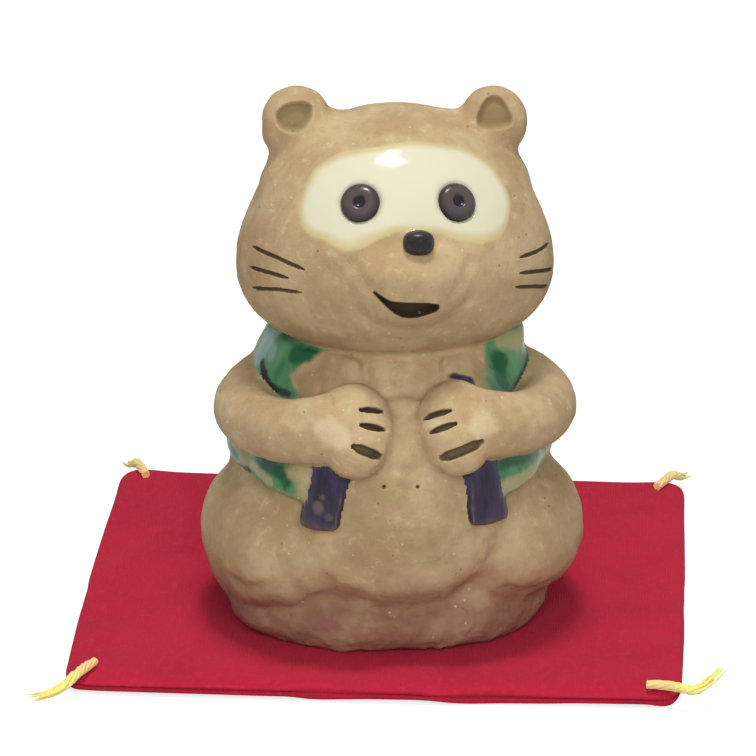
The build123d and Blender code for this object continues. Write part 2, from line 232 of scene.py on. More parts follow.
# Clay: bare stoneware, pressed in a mould and fired without glaze. Buff and dull, with grit and small pits
# The crease and cut colours are painted shade, the red-brown painted shade and red bounce light on the foot
clay = {"warm": "#AE916B", "buff": "#BEA67F", "pale": "#D2C09A", "dark": "#967F5D", "creaseShade": "#7C6545",
        "cut": "#33241A", "olive": "#8E8A57", "footShadeAndBounce": "#7C4E44", "speckPale": "#DACDAA",
        "speckDark": "#5E4C38",
        # Noises: size in mm, detail and roughness
        "noises": {"patch": (14.0, 3.0, 0.5), "mottle": (2.8, 4.0, 0.65), "grain": (0.45, 2.0, 0.5),
                   "lumps": (4.2, 2.0, 0.5)},
        # Mottling: a noise, where its colour starts and is full, how much of it there is, and the colour
        "mottling": [("patch", 0.38, 0.62, 1.0, "buff"), ("mottle", 0.5, 0.78, 0.55, "dark"),
                     ("mottle", 0.44, 0.24, 0.6, "pale")],
        # What is painted on the skin, in order. Fume is copper from the glaze, with painted shade in the ear
        # hollows.
        # Also painted: shade and red bounce light on the foot, highlight on high spots and lump tops, shade
        # in creases and cuts
        "painted": {"wearAndHighlight": "pale", "fumeAndHollowShade": "olive", "footShadeAndBounce": "footShadeAndBounce", "lumpHighlight": "pale", "creaseShade": "creaseShade",
                    "cut": "cut"},
        "gritSize": 1.0, "gritEdge": (0.34, 0.2), "gritRare": (0.98, 0.985),
        "specks": [(0.5, "speckPale"), (0.55, "speckDark")], "lumpHighlight": (0.48, 0.78, 0.2), "lumpHeight": 16.0,
        "bump": 0.2, "bumpDepth": 0.6, "roughness": 0.85}


def clayLook(tree):  # Object coordinates, and the colour and the height of the bare clay
    place = addNode(tree, "ShaderNodeTexCoord").outputs["Object"]
    noises = {}
    for name, (size, detail, rough) in clay["noises"].items():
        made = addNode(tree, "ShaderNodeTexNoise", {"Vector": place, "Scale": 1 / (size * mm),
                                                    "Detail": detail, "Roughness": rough})
        noises[name] = made.outputs[0]
    layers = []
    for name, low, high, most, tint in clay["mottling"]:
        share = addNode(tree, "ShaderNodeMapRange", {0: noises[name], 1: low, 2: high, 4: most})
        layers.append((share.outputs[0], tint))
    for name, tint in clay["painted"].items():
        if name == "lumpHighlight":  # painted highlight: the tops of the foot's lumps are paler
            low, high, most = clay["lumpHighlight"]
            top = addNode(tree, "ShaderNodeMapRange", {0: noises["lumps"], 1: low, 2: high, 4: most})
            share = addNode(tree, "ShaderNodeMath", {0: foot, 1: top.outputs[0]},
                            operation="MULTIPLY").outputs[0]
        else:
            share = addNode(tree, "ShaderNodeAttribute", attribute_name=name).outputs["Fac"]
        # the foot's painted shade and red bounce light, which also weights the lump highlight and the lumps'
        # bump
        if name == "footShadeAndBounce":
            foot = share
        layers.append((share, tint))
    grit = addNode(tree, "ShaderNodeTexVoronoi", {"Vector": place, "Scale": 1 / (clay["gritSize"] * mm)})
    pick = addNode(tree, "ShaderNodeSeparateColor", {0: grit.outputs["Color"]})
    outer, inner = clay["gritEdge"]
    near = addNode(tree, "ShaderNodeMapRange", {0: grit.outputs["Distance"], 1: outer, 2: inner})
    rare, rarest = clay["gritRare"]
    for channel, (most, tint) in enumerate(clay["specks"]):
        kept = addNode(tree, "ShaderNodeMapRange", {0: pick.outputs[channel], 1: rare, 2: rarest, 4: most})
        speck = addNode(tree, "ShaderNodeMath", {0: near.outputs[0], 1: kept.outputs[0]},
                        operation="MULTIPLY")
        layers.append((speck.outputs[0], tint))
    colour = linear(clay["warm"])
    for share, tint in layers:
        mixed = addNode(tree, "ShaderNodeMix", {0: share, 6: colour, 7: linear(clay[tint])}, data_type="RGBA")
        colour = mixed.outputs[2]
    height = addNode(tree, "ShaderNodeMath", {0: noises["mottle"], 1: noises["grain"]}, operation="ADD")
    height = addNode(tree, "ShaderNodeMath", {0: height.outputs[0], 1: speck.outputs[0]},
                     operation="SUBTRACT")  # a dark speck is a pit
    rise = addNode(tree, "ShaderNodeMath", {0: foot, 1: clay["lumpHeight"]}, operation="MULTIPLY")
    height = addNode(tree, "ShaderNodeMath", {0: noises["lumps"], 1: rise.outputs[0], 2: height.outputs[0]},
                     operation="MULTIPLY_ADD")
    return place, colour, height.outputs[0]


def glazeOver(tree, share, bare, glaze, height, strength, look):  # a glaze on the bare clay, by its share
    surface = addNode(tree, "ShaderNodeMix", {0: share, 6: bare, 7: glaze}, data_type="RGBA")
    dull = addNode(tree, "ShaderNodeMapRange", {0: share, 3: clay["roughness"], 4: look["roughness"]})
    finishSurface(tree, {"Base Color": surface.outputs[2], "Roughness": dull.outputs[0],
                         "Specular IOR Level": look["specular"]}, height, strength, clay["bumpDepth"])


def runnyColour(tree, place, look):  # streaks that run down, and what is dabbed over them
    scale = [1 / (side * mm) for side in look["runs"]]
    runs = addNode(tree, "ShaderNodeMapping", {"Vector": place, "Scale": scale})
    run = addNode(tree, "ShaderNodeTexNoise", {"Vector": runs.outputs[0], "Scale": 1.0, "Detail": 3.0})
    share = addNode(tree, "ShaderNodeMapRange", {0: run.outputs[0], 1: 0.35, 2: 0.65}).outputs[0]
    colour = addNode(tree, "ShaderNodeMix", {0: share, 6: linear(look["deep"]), 7: linear(look["light"])},
                     data_type="RGBA")
    for layer, tint in look["layers"].items():
        share = addNode(tree, "ShaderNodeAttribute", attribute_name=layer).outputs["Fac"]
        colour = addNode(tree, "ShaderNodeMix", {0: share, 6: colour.outputs[2], 7: linear(tint)},
                         data_type="RGBA")
    return colour.outputs[2]


# The face mask: a thick cream glaze that thins to honey at its rim, over the same clay
mask = {"cream": "#D3CFB3", "layers": {"honey": "#C2B17C", "smoke": "#7F7866"}, "edge": (0.05, 0.55),
        "bump": 0.02, "roughness": 0.12, "specular": 0.4}

clayMaterial, tree = newMaterial("bare_stoneware")
place, clayColour, clayHeight = clayLook(tree)
colour = linear(mask["cream"])
for layer, tint in mask["layers"].items():
    share = addNode(tree, "ShaderNodeAttribute", attribute_name=layer).outputs["Fac"]
    colour = addNode(tree, "ShaderNodeMix", {0: share, 6: colour, 7: linear(tint)},
                     data_type="RGBA").outputs[2]
glazed = addNode(tree, "ShaderNodeAttribute", attribute_name="maskGlaze").outputs["Fac"]
shown = addNode(tree, "ShaderNodeMapRange", {0: glazed, 1: mask["edge"][0], 2: mask["edge"][1]}).outputs[0]
bump = addNode(tree, "ShaderNodeMapRange", {0: shown, 3: clay["bump"], 4: mask["bump"]}).outputs[0]
glazeOver(tree, shown, clayColour, colour, clayHeight, bump, mask)

# The vest: runny copper-green glaze. It pools dark, breaks pale on edges, and misses some of the clay
vest = {"deep": "#3A754E", "light": "#65946C", "runs": (4.0, 4.0, 14.0), "bump": 0.05, "roughness": 0.32,
        "specular": 0.12,
        # The near-black is dark glaze at the armholes and painted shadow under the hem's overhang
        "layers": {"milky": "#96B8B4", "pool": "#1C5636", "thin": "#A9A476", "trimAndHemShadow": "#171C18"}}

greenMaterial, tree = newMaterial("copper_green_glaze")
place, clayColour, clayHeight = clayLook(tree)
colour = runnyColour(tree, place, vest)
glazed = addNode(tree, "ShaderNodeAttribute", attribute_name="glaze").outputs["Fac"]
bump = addNode(tree, "ShaderNodeMapRange", {0: glazed, 3: clay["bump"], 4: vest["bump"]}).outputs[0]
glazeOver(tree, glazed, clayColour, colour, clayHeight, bump, vest)

# The collar bands: a dark violet manganese glaze, streaked, brown and thin at the edges
collar = {"deep": "#27222F", "light": "#3D3350", "runs": (1.6, 1.6, 6.4), "layers": {"thin": "#6E5C50"},
          "bump": 0.08, "roughness": 0.35, "specular": 0.22}

violetMaterial, tree = newMaterial("manganese_violet_glaze")
place, clayColour, clayHeight = clayLook(tree)
colour = runnyColour(tree, place, collar)
glazed = addNode(tree, "ShaderNodeAttribute", attribute_name="glaze").outputs["Fac"]
glazeOver(tree, glazed, clayColour, colour, clayHeight, collar["bump"], collar)
print("clay and glazes made")


# The figure's skin: every clay piece in one skin, so that the joints flow, then cut back into its pieces
# Lengths in mm. ventPlug: radius, foot and top. besideEdge: rings of points, and rounds of smoothing
figure = {"voxel": 0.54, "ventPlug": (12.5, 2.5, 8.0), "smoothing": 10, "edgeRounds": 30,
          "besideEdge": (3, 14), "labelRounds": 12, "jointReach": 6.0, "jointSmoothing": 90,
          "socketPlug": 0.92, "socketSink": 2.0, "wall": 3.2, "footHeight": 3.4, "wetSmoothing": 60,
          "fineSpreads": (0.9, 0.4), "hollowRounds": 40}
head = {"place": (0.5, -5.0, 82.4), "turn": (-12.0, 1.4, 1.4), "middle": (0, 0, 6)}
# The vest covers the shoulders whole: the body above and outside these, and the arms above theirs, in mm
vestCover = {"bodyAbove": 60, "bodyOut": 17, "armAbove": 63.5, "backFrom": -3}
# Kinds of pieces whose joints are softened by a wet finger
softPairs = [("ear", "head_"), ("leg", "leg"), ("leg", "body_"), ("tail", "body_"), ("tail", "leg"),
             ("arm", "body_"), ("arm", "leg")]

clayNodes = ["body_front_shell", "body_back_shell", "left_leg", "right_leg", "tail", "head_front_shell",
             "head_back_shell", "left_ear", "right_ear", "left_arm", "right_arm"]
vestNodes = ["vest_back", "left_vest_front", "right_vest_front"]
bandNodes = ["left_collar_band", "right_collar_band"]
skinNodes = clayNodes + vestNodes + bandNodes
headTurn = Euler([math.radians(angle) for angle in head["turn"]], "ZYX").to_matrix()
headFrame = Matrix.Translation(Vector(head["place"])) @ headTurn.to_4x4()
headInverse = np.array(headFrame.inverted())
# Eggs that fill what is cut again further on: place, half sizes, and the lean of the hands in degrees
plugs = [{"frame": headFrame, "place": (0, 0, 5.5), "half": (29.3, 24.0, 22.5)},
         {"frame": headFrame, "place": (0, -19.0, -1.5), "half": (14.85, 12.5, 10.75)},
         {"frame": headFrame, "place": (21.2, -3.5, 28.5), "half": (6.7, 4.9, 6.7)},
         {"frame": headFrame, "place": (-21.2, -3.5, 28.5), "half": (6.7, 4.9, 6.7)},
         {"frame": Matrix(), "place": (10.4, -33.6, 55.0), "half": (7.8, 5.2, 10.0), "lean": -30},
         {"frame": Matrix(), "place": (-10.4, -33.6, 55.0), "half": (7.8, 5.2, 10.0), "lean": -30}]

bm = bmesh.new()
faceEnds = []
for nodeName in skinNodes:
    bm.from_mesh(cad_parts[nodeName].data)
    faceEnds.append(len(bm.faces))
solids = BVHTree.FromBMesh(bm)  # to tell which piece a face of the skin belongs to
bmesh.ops.remove_doubles(bm, verts=bm.verts, dist=0.001 * mm)
plugForm = bmesh.new()
plugRadius, plugFoot, plugTop = figure["ventPlug"]
plugMiddle = figure["footHeight"] + (plugTop + plugFoot) / 2
bmesh.ops.create_cone(plugForm, cap_ends=True, segments=48, radius1=plugRadius * mm, radius2=plugRadius * mm,
                      depth=(plugTop - plugFoot) * mm, matrix=Matrix.Translation((0, 0, plugMiddle * mm)))
for plug in plugs:
    place = (Matrix.Scale(mm, 4) @ plug["frame"] @ Matrix.Translation(plug["place"])
             @ Matrix.Rotation(math.radians(plug.get("lean", 0)), 4, "X")
             @ Matrix.Diagonal((*plug["half"], 1)))
    bmesh.ops.create_uvsphere(plugForm, u_segments=48, v_segments=32, radius=1, matrix=place)
bm.from_mesh(meshFrom(plugForm, "plugs"))
for nodeName in ("left_eye", "right_eye", "nose"):  # sunk pellets close the sockets
    before = len(bm.verts)
    bm.from_mesh(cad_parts[nodeName].data)
    bm.verts.ensure_lookup_table()
    sunk = bm.verts[before:]
    middle = sum((vertex.co for vertex in sunk), Vector()) / len(sunk)
    inward = (headFrame @ Vector(head["middle"]) * mm - middle).normalized() * figure["socketSink"] * mm
    for vertex in sunk:
        vertex.co = middle + (vertex.co - middle) * figure["socketPlug"] + inward
joined = addObject("joined_clay", meshFrom(bm, "joined_clay"), clayMaterial)
remesh = joined.modifiers.new("skin", "REMESH")
remesh.mode = "VOXEL"
remesh.voxel_size = figure["voxel"] * mm
skinMesh = applied(joined)
bpy.data.objects.remove(joined)


def ofKind(word):  # which of the skin's nodes have a word in their names
    return np.array([word in nodeName for nodeName in skinNodes])


def edgePairs(mesh):
    pairs = np.empty(len(mesh.edges) * 2, np.int32)
    mesh.edges.foreach_get("vertices", pairs)
    return pairs.reshape(-1, 2)


def faceCorners(mesh):  # the corner points and the sides of all faces, and how many each face has
    corners, sides = np.empty(len(mesh.loops), np.int32), np.empty(len(mesh.loops), np.int32)
    counts = np.empty(len(mesh.polygons), np.int32)
    mesh.loops.foreach_get("vertex_index", corners)
    mesh.loops.foreach_get("edge_index", sides)
    mesh.polygons.foreach_get("loop_total", counts)
    return corners, sides, counts


island = np.arange(len(skinMesh.vertices))  # only the outer skin stays, which is the largest island
pairs = edgePairs(skinMesh)
while True:
    lowest = np.minimum(island[pairs[:, 0]], island[pairs[:, 1]])
    merged = island.copy()
    np.minimum.at(merged, pairs[:, 0], lowest)
    np.minimum.at(merged, pairs[:, 1], lowest)
    merged = merged[merged]
    if (merged == island).all():
        break
    island = merged
largest = np.bincount(island).argmax()
bm = bmesh.new()
bm.from_mesh(skinMesh)
bmesh.ops.delete(bm, geom=[vertex for vertex in bm.verts if island[vertex.index] != largest], context="VERTS")
skinMesh = meshFrom(bm, "skin", smooth=True)
skin = addObject("skin", skinMesh, clayMaterial)
points = meshPoints(skinMesh)
print("skin:", len(points), "points")

centres = np.empty(len(skinMesh.polygons) * 3)
skinMesh.polygons.foreach_get("center", centres)
centres = centres.reshape(-1, 3)
nearest = [solids.find_nearest(Vector(centre))[2] for centre in centres]
faceOwner = np.searchsorted(faceEnds, np.array(nearest), side="right")
corners, sides, counts = faceCorners(skinMesh)
starts = np.cumsum(counts) - counts
# A face goes with most of its neighbours, so that no loose faces stay
for step in range(figure["labelRounds"]):
    votes = np.zeros((len(points), len(skinNodes)), np.float32)
    np.add.at(votes, (corners, np.repeat(faceOwner, counts)), 1)
    faceOwner = np.add.reduceat(votes[corners], starts, axis=0).argmax(1)
acrossAll, depthAll, heightAll = (centres / mm).T
shoulder = (heightAll > vestCover["bodyAbove"]) & (np.abs(acrossAll) > vestCover["bodyOut"])
shoulder &= ofKind("body_")[faceOwner]
shoulder |= (heightAll > vestCover["armAbove"]) & ofKind("_arm")[faceOwner]
frontVest = np.where(acrossAll > 0, skinNodes.index("left_vest_front"), skinNodes.index("right_vest_front"))
coveredBy = np.where(depthAll < vestCover["backFrom"], frontVest, skinNodes.index("vest_back"))
faceOwner = np.where(shoulder, coveredBy, faceOwner)
skinMesh.attributes.new("piece", "INT", "FACE").data.foreach_set("value", faceOwner.astype(np.int32))


def pointOwners():  # the number of the piece that each point goes with
    owners = np.empty(len(skinMesh.polygons), np.int32)
    skinMesh.attributes["piece"].data.foreach_get("value", owners)
    corners, sides, counts = faceCorners(skinMesh)
    result = np.zeros(len(skinMesh.vertices), np.int32)
    result[corners] = np.repeat(owners, counts)
    return result


def smoothSkin(weights, rounds):
    group = skin.vertex_groups.new(name="soft")
    for level in range(1, 11):
        chosen = np.nonzero(np.round(weights * 10) == level)[0]
        group.add([int(index) for index in chosen], level / 10, "REPLACE")
    soften = skin.modifiers.new("soften", "SMOOTH")
    soften.factor = 0.5
    soften.iterations = rounds
    soften.vertex_group = "soft"
    result = meshPoints(applied(skin))
    skin.modifiers.clear()
    skin.vertex_groups.clear()
    setPoints(skinMesh, result)
    return result


def distanceFrom(chosen, where):  # from some points of the skin to the chosen ones, in mm
    places = points[chosen]
    tree = kdtree.KDTree(len(places))
    for index, place in enumerate(places):
        tree.insert(place, index)
    tree.balance()
    distances = np.full(len(points), 1e9)
    distances[where] = [tree.find(point)[2] for point in points[where]]
    return distances


pointOwner = pointOwners()
points = smoothSkin(np.ones(len(points)), figure["smoothing"])
sideOwner = np.repeat(faceOwner, counts)
seam = np.full(len(skinMesh.edges), -1)  # sides where two pieces meet
seam[sides] = sideOwner
meets = np.zeros(len(skinMesh.edges), bool)
meets[sides[seam[sides] != sideOwner]] = True
pairs = edgePairs(skinMesh)
line = pairs[meets]
ends = np.bincount(line.ravel(), minlength=len(points))
along = ends >= 2
for step in range(figure["edgeRounds"]):  # the pieces' edges run smooth along the seam
    total = np.zeros_like(points)
    np.add.at(total, line[:, 0], points[line[:, 1]])
    np.add.at(total, line[:, 1], points[line[:, 0]])
    points[along] += 0.5 * (total[along] / ends[along, None] - points[along])
setPoints(skinMesh, points)
besideSeam = ends > 0
besideRings, besideRounds = figure["besideEdge"]
for step in range(besideRings):
    besideSeam[pairs[besideSeam[pairs].any(1)].ravel()] = True
points = smoothSkin(besideSeam.astype(float), besideRounds)

first, second = pointOwner[pairs[:, 0]], pointOwner[pairs[:, 1]]
softJoint = np.zeros(len(points), bool)
for one, two in softPairs:
    isOne, isTwo = ofKind(one), ofKind(two)
    crossing = (first != second) & ((isOne[first] & isTwo[second]) | (isTwo[first] & isOne[second]))
    softJoint[pairs[crossing].ravel()] = True
jointDistance = distanceFrom(softJoint, np.ones(len(points), bool))
points = smoothSkin(1 - smoothStep(0, figure["jointReach"], jointDistance), figure["jointSmoothing"])
print("joints softened")

# Sculpting, as a thumb and a wooden tool do it. A stroke is a path in mm, a reach, and a push in mm or a move
formStrokes = {
    "head": [  # in the head's own frame
        {"path": [(27, -4, -10)], "reach": 15, "push": 0.9},
        {"path": [(-27, -4, -10)], "reach": 15, "push": 0.9},
        {"path": [(31, 0, 13)], "reach": 11, "push": -0.9},
        {"path": [(-31, 0, 13)], "reach": 11, "push": -1.1},
        {"path": [(21.2, -3.5, 29)], "reach": 12, "push": 0.6, "move": (-2.4, 0, 1.6)},
        {"path": [(-21.2, -3.5, 29)], "reach": 12, "push": 0.6, "move": (0, 0, 2.0)},
        {"path": [(27, -3, 21.5)], "reach": 7, "move": (1.3, 0, 0.2)},
        {"path": [(-28.4, -3, 23.6)], "reach": 5, "move": (-1.0, 0, 0)},
        {"path": [(-28, -3, 20)], "reach": 8, "move": (-1.6, 0, 0)},
        {"path": [(-6, -3, 31), (7, -3, 31)], "reach": 16, "move": (0, 0, 0.5)},
        {"path": [(12.5, -3, 29.5)], "reach": 6, "move": (0, 0, 1.1)},
        {"path": [(-13.5, -3, 29.5)], "reach": 6, "move": (0, 0, 1.2)},
        {"path": [(-15, -22, 4), (-9, -25, 2)], "reach": 5, "push": 0.5},
        {"path": [(14, -22, 4), (9, -25, 3)], "reach": 5, "push": 0.4},
        {"path": [(-12.2, -26, 2.2), (-9.2, -28.8, -2.4)], "reach": 2.6, "push": -0.5},
        {"path": [(12.2, -26, 2.2), (9.4, -28.6, -3.4)], "reach": 2.6, "push": -0.4},
        {"path": [(-4, -31, 0), (5, -31, 0)], "reach": 6, "push": 0.6},
    ],
    "body": [
        {"path": [(-18, -33, 34), (-18, -33, 25)], "reach": 7, "push": 0.8},
        {"path": [(18, -33, 34), (17, -33, 26)], "reach": 7, "push": 0.6},
        {"path": [(-27, -29.6, 25.4), (-25.2, -30.3, 20.9), (-19.8, -28.2, 15.4), (-10.4, -29.6, 14.1),
                  (0.5, -29.9, 12.6), (9.7, -28.9, 14.5), (17.4, -29.7, 19.1), (19.3, -30.6, 25.1)],
         "reach": 3.4, "push": -0.8},
        {"path": [(-20, -33, 27), (-14, -34, 20.5), (0, -35, 18.5), (12, -34, 21), (15, -33, 26)],
         "reach": 5.5, "push": 0.7},
        {"path": [(-35.5, -21.1, 17.6), (-32.5, -23.9, 16.4), (-27.6, -28.9, 19)], "reach": 2.8,
         "push": -0.7},
        {"path": [(22.2, -28.9, 16.3), (25.2, -26.5, 14), (31.3, -23.7, 14.9)], "reach": 2.8, "push": -0.7},
        {"path": [(0, -31, 5), (0, -30, 11)], "reach": 6, "push": 0.9},
        {"path": [(34, -12, 7), (30, -22, 8)], "reach": 11, "push": -0.8},
        {"path": [(-33, -6, 10), (-31, -20, 9)], "reach": 11, "move": (-2.4, -0.4, 0)},
        {"path": [(-3.4, -29, 60.6), (0, -28.5, 61.3), (3.4, -29.2, 60.4)], "reach": 2.0, "push": -0.8},
        {"path": [(-3, -29.4, 59.9), (-2.8, -32, 57.4)], "reach": 1.7, "push": -0.4},
        {"path": [(3.3, -29.8, 59.6), (2.6, -31.6, 57)], "reach": 1.7, "push": -0.5},
        {"path": [(-0.2, -30.1, 59), (0, -32.2, 56.4), (0, -34.3, 52.8), (0.1, -36, 48.6)],
         "reach": 2.7, "push": 0.9},
        {"path": [(-8.6, -39, 48.6), (-13, -39.5, 49)], "reach": 4, "push": 0.5},
        {"path": [(10, -39, 48.4), (14, -39.5, 49)], "reach": 4, "push": 0.5},
        {"path": [(14.6, -35.6, 35.8)], "reach": 7, "move": (-0.9, 0, 0)},
        {"path": [(26, -6, 66), (27, 6, 66)], "reach": 6, "move": (1.8, 0, 0.3)},
    ],
}
# Spots wiped smooth with a wet finger: place in mm and reach
wetSpots = {"head": [((0, -28, -6.5), 9), ((26, -3, 22), 8), ((-28, -3, 21), 10), ((13, -3, 29), 6),
                     ((-13, -3, 29), 6), ((21, -7, 30), 6), ((-21, -7, 30), 6)],
            "body": [((-17.5, -37, 58), 6), ((17.5, -37, 58), 6), ((18.6, -34, 62.5), 5), ((-33, -14, 13), 8),
                     ((33, -14, 12), 6)]}
# Hollows cut to an outline in the head's own frame: how deep, the rim's slope, and how far back they reach
earHollows = [
    {"outline": [(-26.3, 30.8), (-24.6, 33), (-22, 33.8), (-18.4, 33.6), (-18, 31), (-19.4, 28.1),
                 (-22, 26.8), (-25.2, 27.8)],
     "depth": 1.5, "slope": (-0.3, 1.2), "front": -4},
    {"outline": [(15.7, 29.4), (16.2, 31.4), (17.4, 33.8), (19.2, 34.9), (21.2, 34.6), (22.8, 32.4),
                 (23.8, 29.8), (23.4, 28.2), (21.2, 27.6), (18.2, 27.5), (16.2, 28.0)],
     "depth": 1.5, "slope": (-0.3, 1.2), "front": -4},
]
mouth = {"outline": [(-8.5, -2.7), (-5.0, -5.1), (-3.6, -5.5), (5.5, -5.8), (5.7, -7.4), (3.3, -8.2),
                     (0.5, -9.0), (-2.6, -8.5), (-5.6, -5.9)],
         "depth": 2.6, "slope": (-0.05, 0.45), "front": -15}
# Cuts of the wooden tool: path, half-width, depth and how dark their painted shade is
cuts = {
    "whiskers": {"half": 0.5, "depth": 0.75, "dark": 0.85, "frame": "head", "on": "head_", "paths": [
        [(-30.9, -9.9, 3.9), (-26.6, -16.7, 2.4), (-21.3, -21.5, 0.4)],
        [(-31.2, -9.4, -0.4), (-27.8, -14.8, -0.9), (-24.2, -18.6, -1.6)],
        [(-30.5, -9.2, -4.7), (-26.2, -16.2, -4.3), (-21.8, -20.2, -4.5)],
        [(23.8, -19.5, 2.3), (28, -15, 2.9), (31.6, -9, 4.0)],
        [(23.8, -19.6, -1.0), (27.7, -15.5, -1.2), (32.3, -6.6, -1.7)],
        [(22.9, -19.7, -3.9), (27.4, -14.8, -4.4), (31.2, -8.4, -5.2)]]},
    "rightFingers": {"half": 0.85, "depth": 1.6, "dark": 0.9, "frame": "body", "on": "arm", "paths": [
        [(-9.3, -36.7, 61), (-4.4, -35.2, 59.9)], [(-9.4, -38.7, 58.2), (-4.4, -37.2, 56.3)]]},
    "leftFingers": {"half": 0.8, "depth": 1.4, "dark": 0.85, "frame": "body", "on": "arm", "paths": [
        [(3.1, -35.2, 57.7), (8.7, -37.2, 60.3)], [(4.3, -37.9, 55.6), (9.7, -38.9, 58)]]},
    "rightThumb": {"half": 1.2, "depth": 1.8, "dark": 0.8, "frame": "body", "on": "arm", "paths": [
        [(-11.3, -40, 53.9), (-5.6, -39.3, 51.1)]]},
    "leftThumb": {"half": 1.25, "depth": 1.8, "dark": 0.75, "frame": "body", "on": "arm", "paths": [
        [(6.7, -39.7, 50.5), (15.2, -39, 53.5)]]},
    "pits": {"half": 0.45, "depth": 0.8, "dark": 0.75, "frame": "body", "on": "", "paths": [
        [(-4.8, -36.9, 43.6)], [(2.2, -37.3, 43.5)], [(-22.2, -31.8, 36.0)]]},
}
# Lumps of the clay: size and height in mm, and where the crust lies on the foot, the belly and the hands
lumps = {"foot": (5.0, 0.5), "skin": (3.2, 0.17), "headShare": 0.4, "crust": (1.9, 0.6), "footTop": 19.0,
         "footFade": 9.0, "bellyMiddle": (1.5, -36, 39), "bellyHalf": (15, 12, 26), "patchSize": 8.0}


def rounded(outline, rounds=2):  # an outline with its corners cut
    for step in range(rounds):
        outline = [tuple(np.array(start) * near + np.array(end) * (1 - near))
                   for start, end in zip(outline, outline[1:] + outline[:1]) for near in (0.75, 0.25)]
    return outline


def insideOutline(outline, flat):  # distance to an outline in mm, above 0 inside
    inside = np.zeros(len(flat), bool)
    nearest = np.full(len(flat), 1e9)
    for start, end in zip(outline, outline[1:] + outline[:1]):
        start, end = np.array(start), np.array(end)
        along = end - start
        share = np.clip(((flat - start) @ along) / (along @ along), 0, 1)
        nearest = np.minimum(nearest, np.linalg.norm(flat - start - share[:, None] * along, axis=1))
        above = (start[1] > flat[:, 1]) != (end[1] > flat[:, 1])
        height = np.where(above, flat[:, 1] - start[1], 0)
        inside ^= above & (flat[:, 0] < start[0] + height * along[0] / (along[1] if along[1] else 1e-9))
    return np.where(inside, nearest, -nearest)


def toWorld(path, frameName):
    return [headFrame @ Vector(point) if frameName == "head" else Vector(point) for point in path]


def pathDistance(path):  # from each point of the skin, along the surface
    best = np.full(len(points), 1e9)
    for start, end in zip(path, path[1:] or path):
        start, along = np.array(start), np.array(end - start)
        share = np.clip(((points - start) @ along) / max(along @ along, 1e-9), 0, 1)
        step = points - start - share[:, None] * along
        depth = (step * normals).sum(1)
        flat = np.sqrt(np.maximum((step * step).sum(1) - depth * depth, 0))
        best = np.minimum(best, np.where(np.abs(depth) < 4, flat, np.linalg.norm(step, axis=1)))
    return best


def inHead():  # the points in the head's own frame
    return points @ headInverse[:3, :3].T + headInverse[:3, 3]


def crustShares():  # how low each point lies, how far from the belly's middle, and how crusted it is
    low = 1 - smoothStep(lumps["footTop"] - lumps["footFade"], lumps["footTop"], points[:, 2])
    onBelly = np.linalg.norm((points - np.array(lumps["bellyMiddle"])) / np.array(lumps["bellyHalf"]), axis=1)
    patches = smoothStep(-0.1, 0.35, noiseAt(points, lumps["patchSize"], 2.2))
    return low, onBelly, np.maximum(low, 1 - smoothStep(0.5, 1.1, onBelly)) * patches


for frameName, strokes in formStrokes.items():
    normals = meshNormals(skinMesh)
    for stroke in strokes:
        share = 1 - smoothStep(0, stroke["reach"], pathDistance(toWorld(stroke["path"], frameName)))
        move = Vector(stroke.get("move", (0, 0, 0)))
        move = np.array(headTurn @ move if frameName == "head" else move)
        points += share[:, None] * (normals * stroke.get("push", 0) + move)
    setPoints(skinMesh, points)
wiped = np.zeros(len(points))
for frameName, spots in wetSpots.items():
    for place, reach in spots:
        away = np.linalg.norm(points - np.array(toWorld([place], frameName)[0]), axis=1)
        wiped = np.maximum(wiped, 1 - smoothStep(0.4 * reach, reach, away))
points = smoothSkin(wiped, figure["wetSmoothing"])
print("forms pushed")

normals = meshNormals(skinMesh)
low, onBelly, crusted = crustShares()
footSize, footRise = lumps["foot"]
skinSize, skinRise = lumps["skin"]
crustSize, crustRise = lumps["crust"]
rough = low * footRise * noiseAt(points, footSize)
calm = np.where(ofKind("head_")[pointOwner], lumps["headShare"], 1.0)
rough += skinRise * noiseAt(points, skinSize, 7.1) * calm
rough += crusted * crustRise * np.maximum(0, noiseAt(points, crustSize, 4.4))
points += normals * rough[:, None]
setPoints(skinMesh, points)

# Smaller faces where the cuts go
cutPaths = [(toWorld(path, cut["frame"]), cut) for cut in cuts.values() for path in cut["paths"]]
mouth["outline"] = rounded(mouth["outline"], 1)
for hollow in earHollows:
    hollow["outline"] = rounded(hollow["outline"])
for spread in figure["fineSpreads"]:
    normals = meshNormals(skinMesh)
    near = np.full(len(points), 1e9)
    for path, cut in cutPaths:
        near = np.minimum(near, pathDistance(path) - cut["half"])
    headLocal = inHead()
    for opening in [mouth] + earHollows:
        rim = np.abs(insideOutline(opening["outline"], headLocal[:, [0, 2]]))
        near = np.where(headLocal[:, 1] < opening["front"], np.minimum(near, rim - 0.3), near)
    close = near < spread
    bm = bmesh.new()
    bm.from_mesh(skinMesh)
    edges = [edge for edge in bm.edges if close[edge.verts[0].index] and close[edge.verts[1].index]]
    bmesh.ops.subdivide_edges(bm, edges=edges, cuts=1, use_grid_fill=True)
    bmesh.ops.triangulate(bm, faces=[face for face in bm.faces if len(face.verts) > 4])
    bm.to_mesh(skinMesh)
    bm.free()
    points = meshPoints(skinMesh)
normals = meshNormals(skinMesh)
innerPoints = points - normals * figure["wall"]
pointOwner = pointOwners()
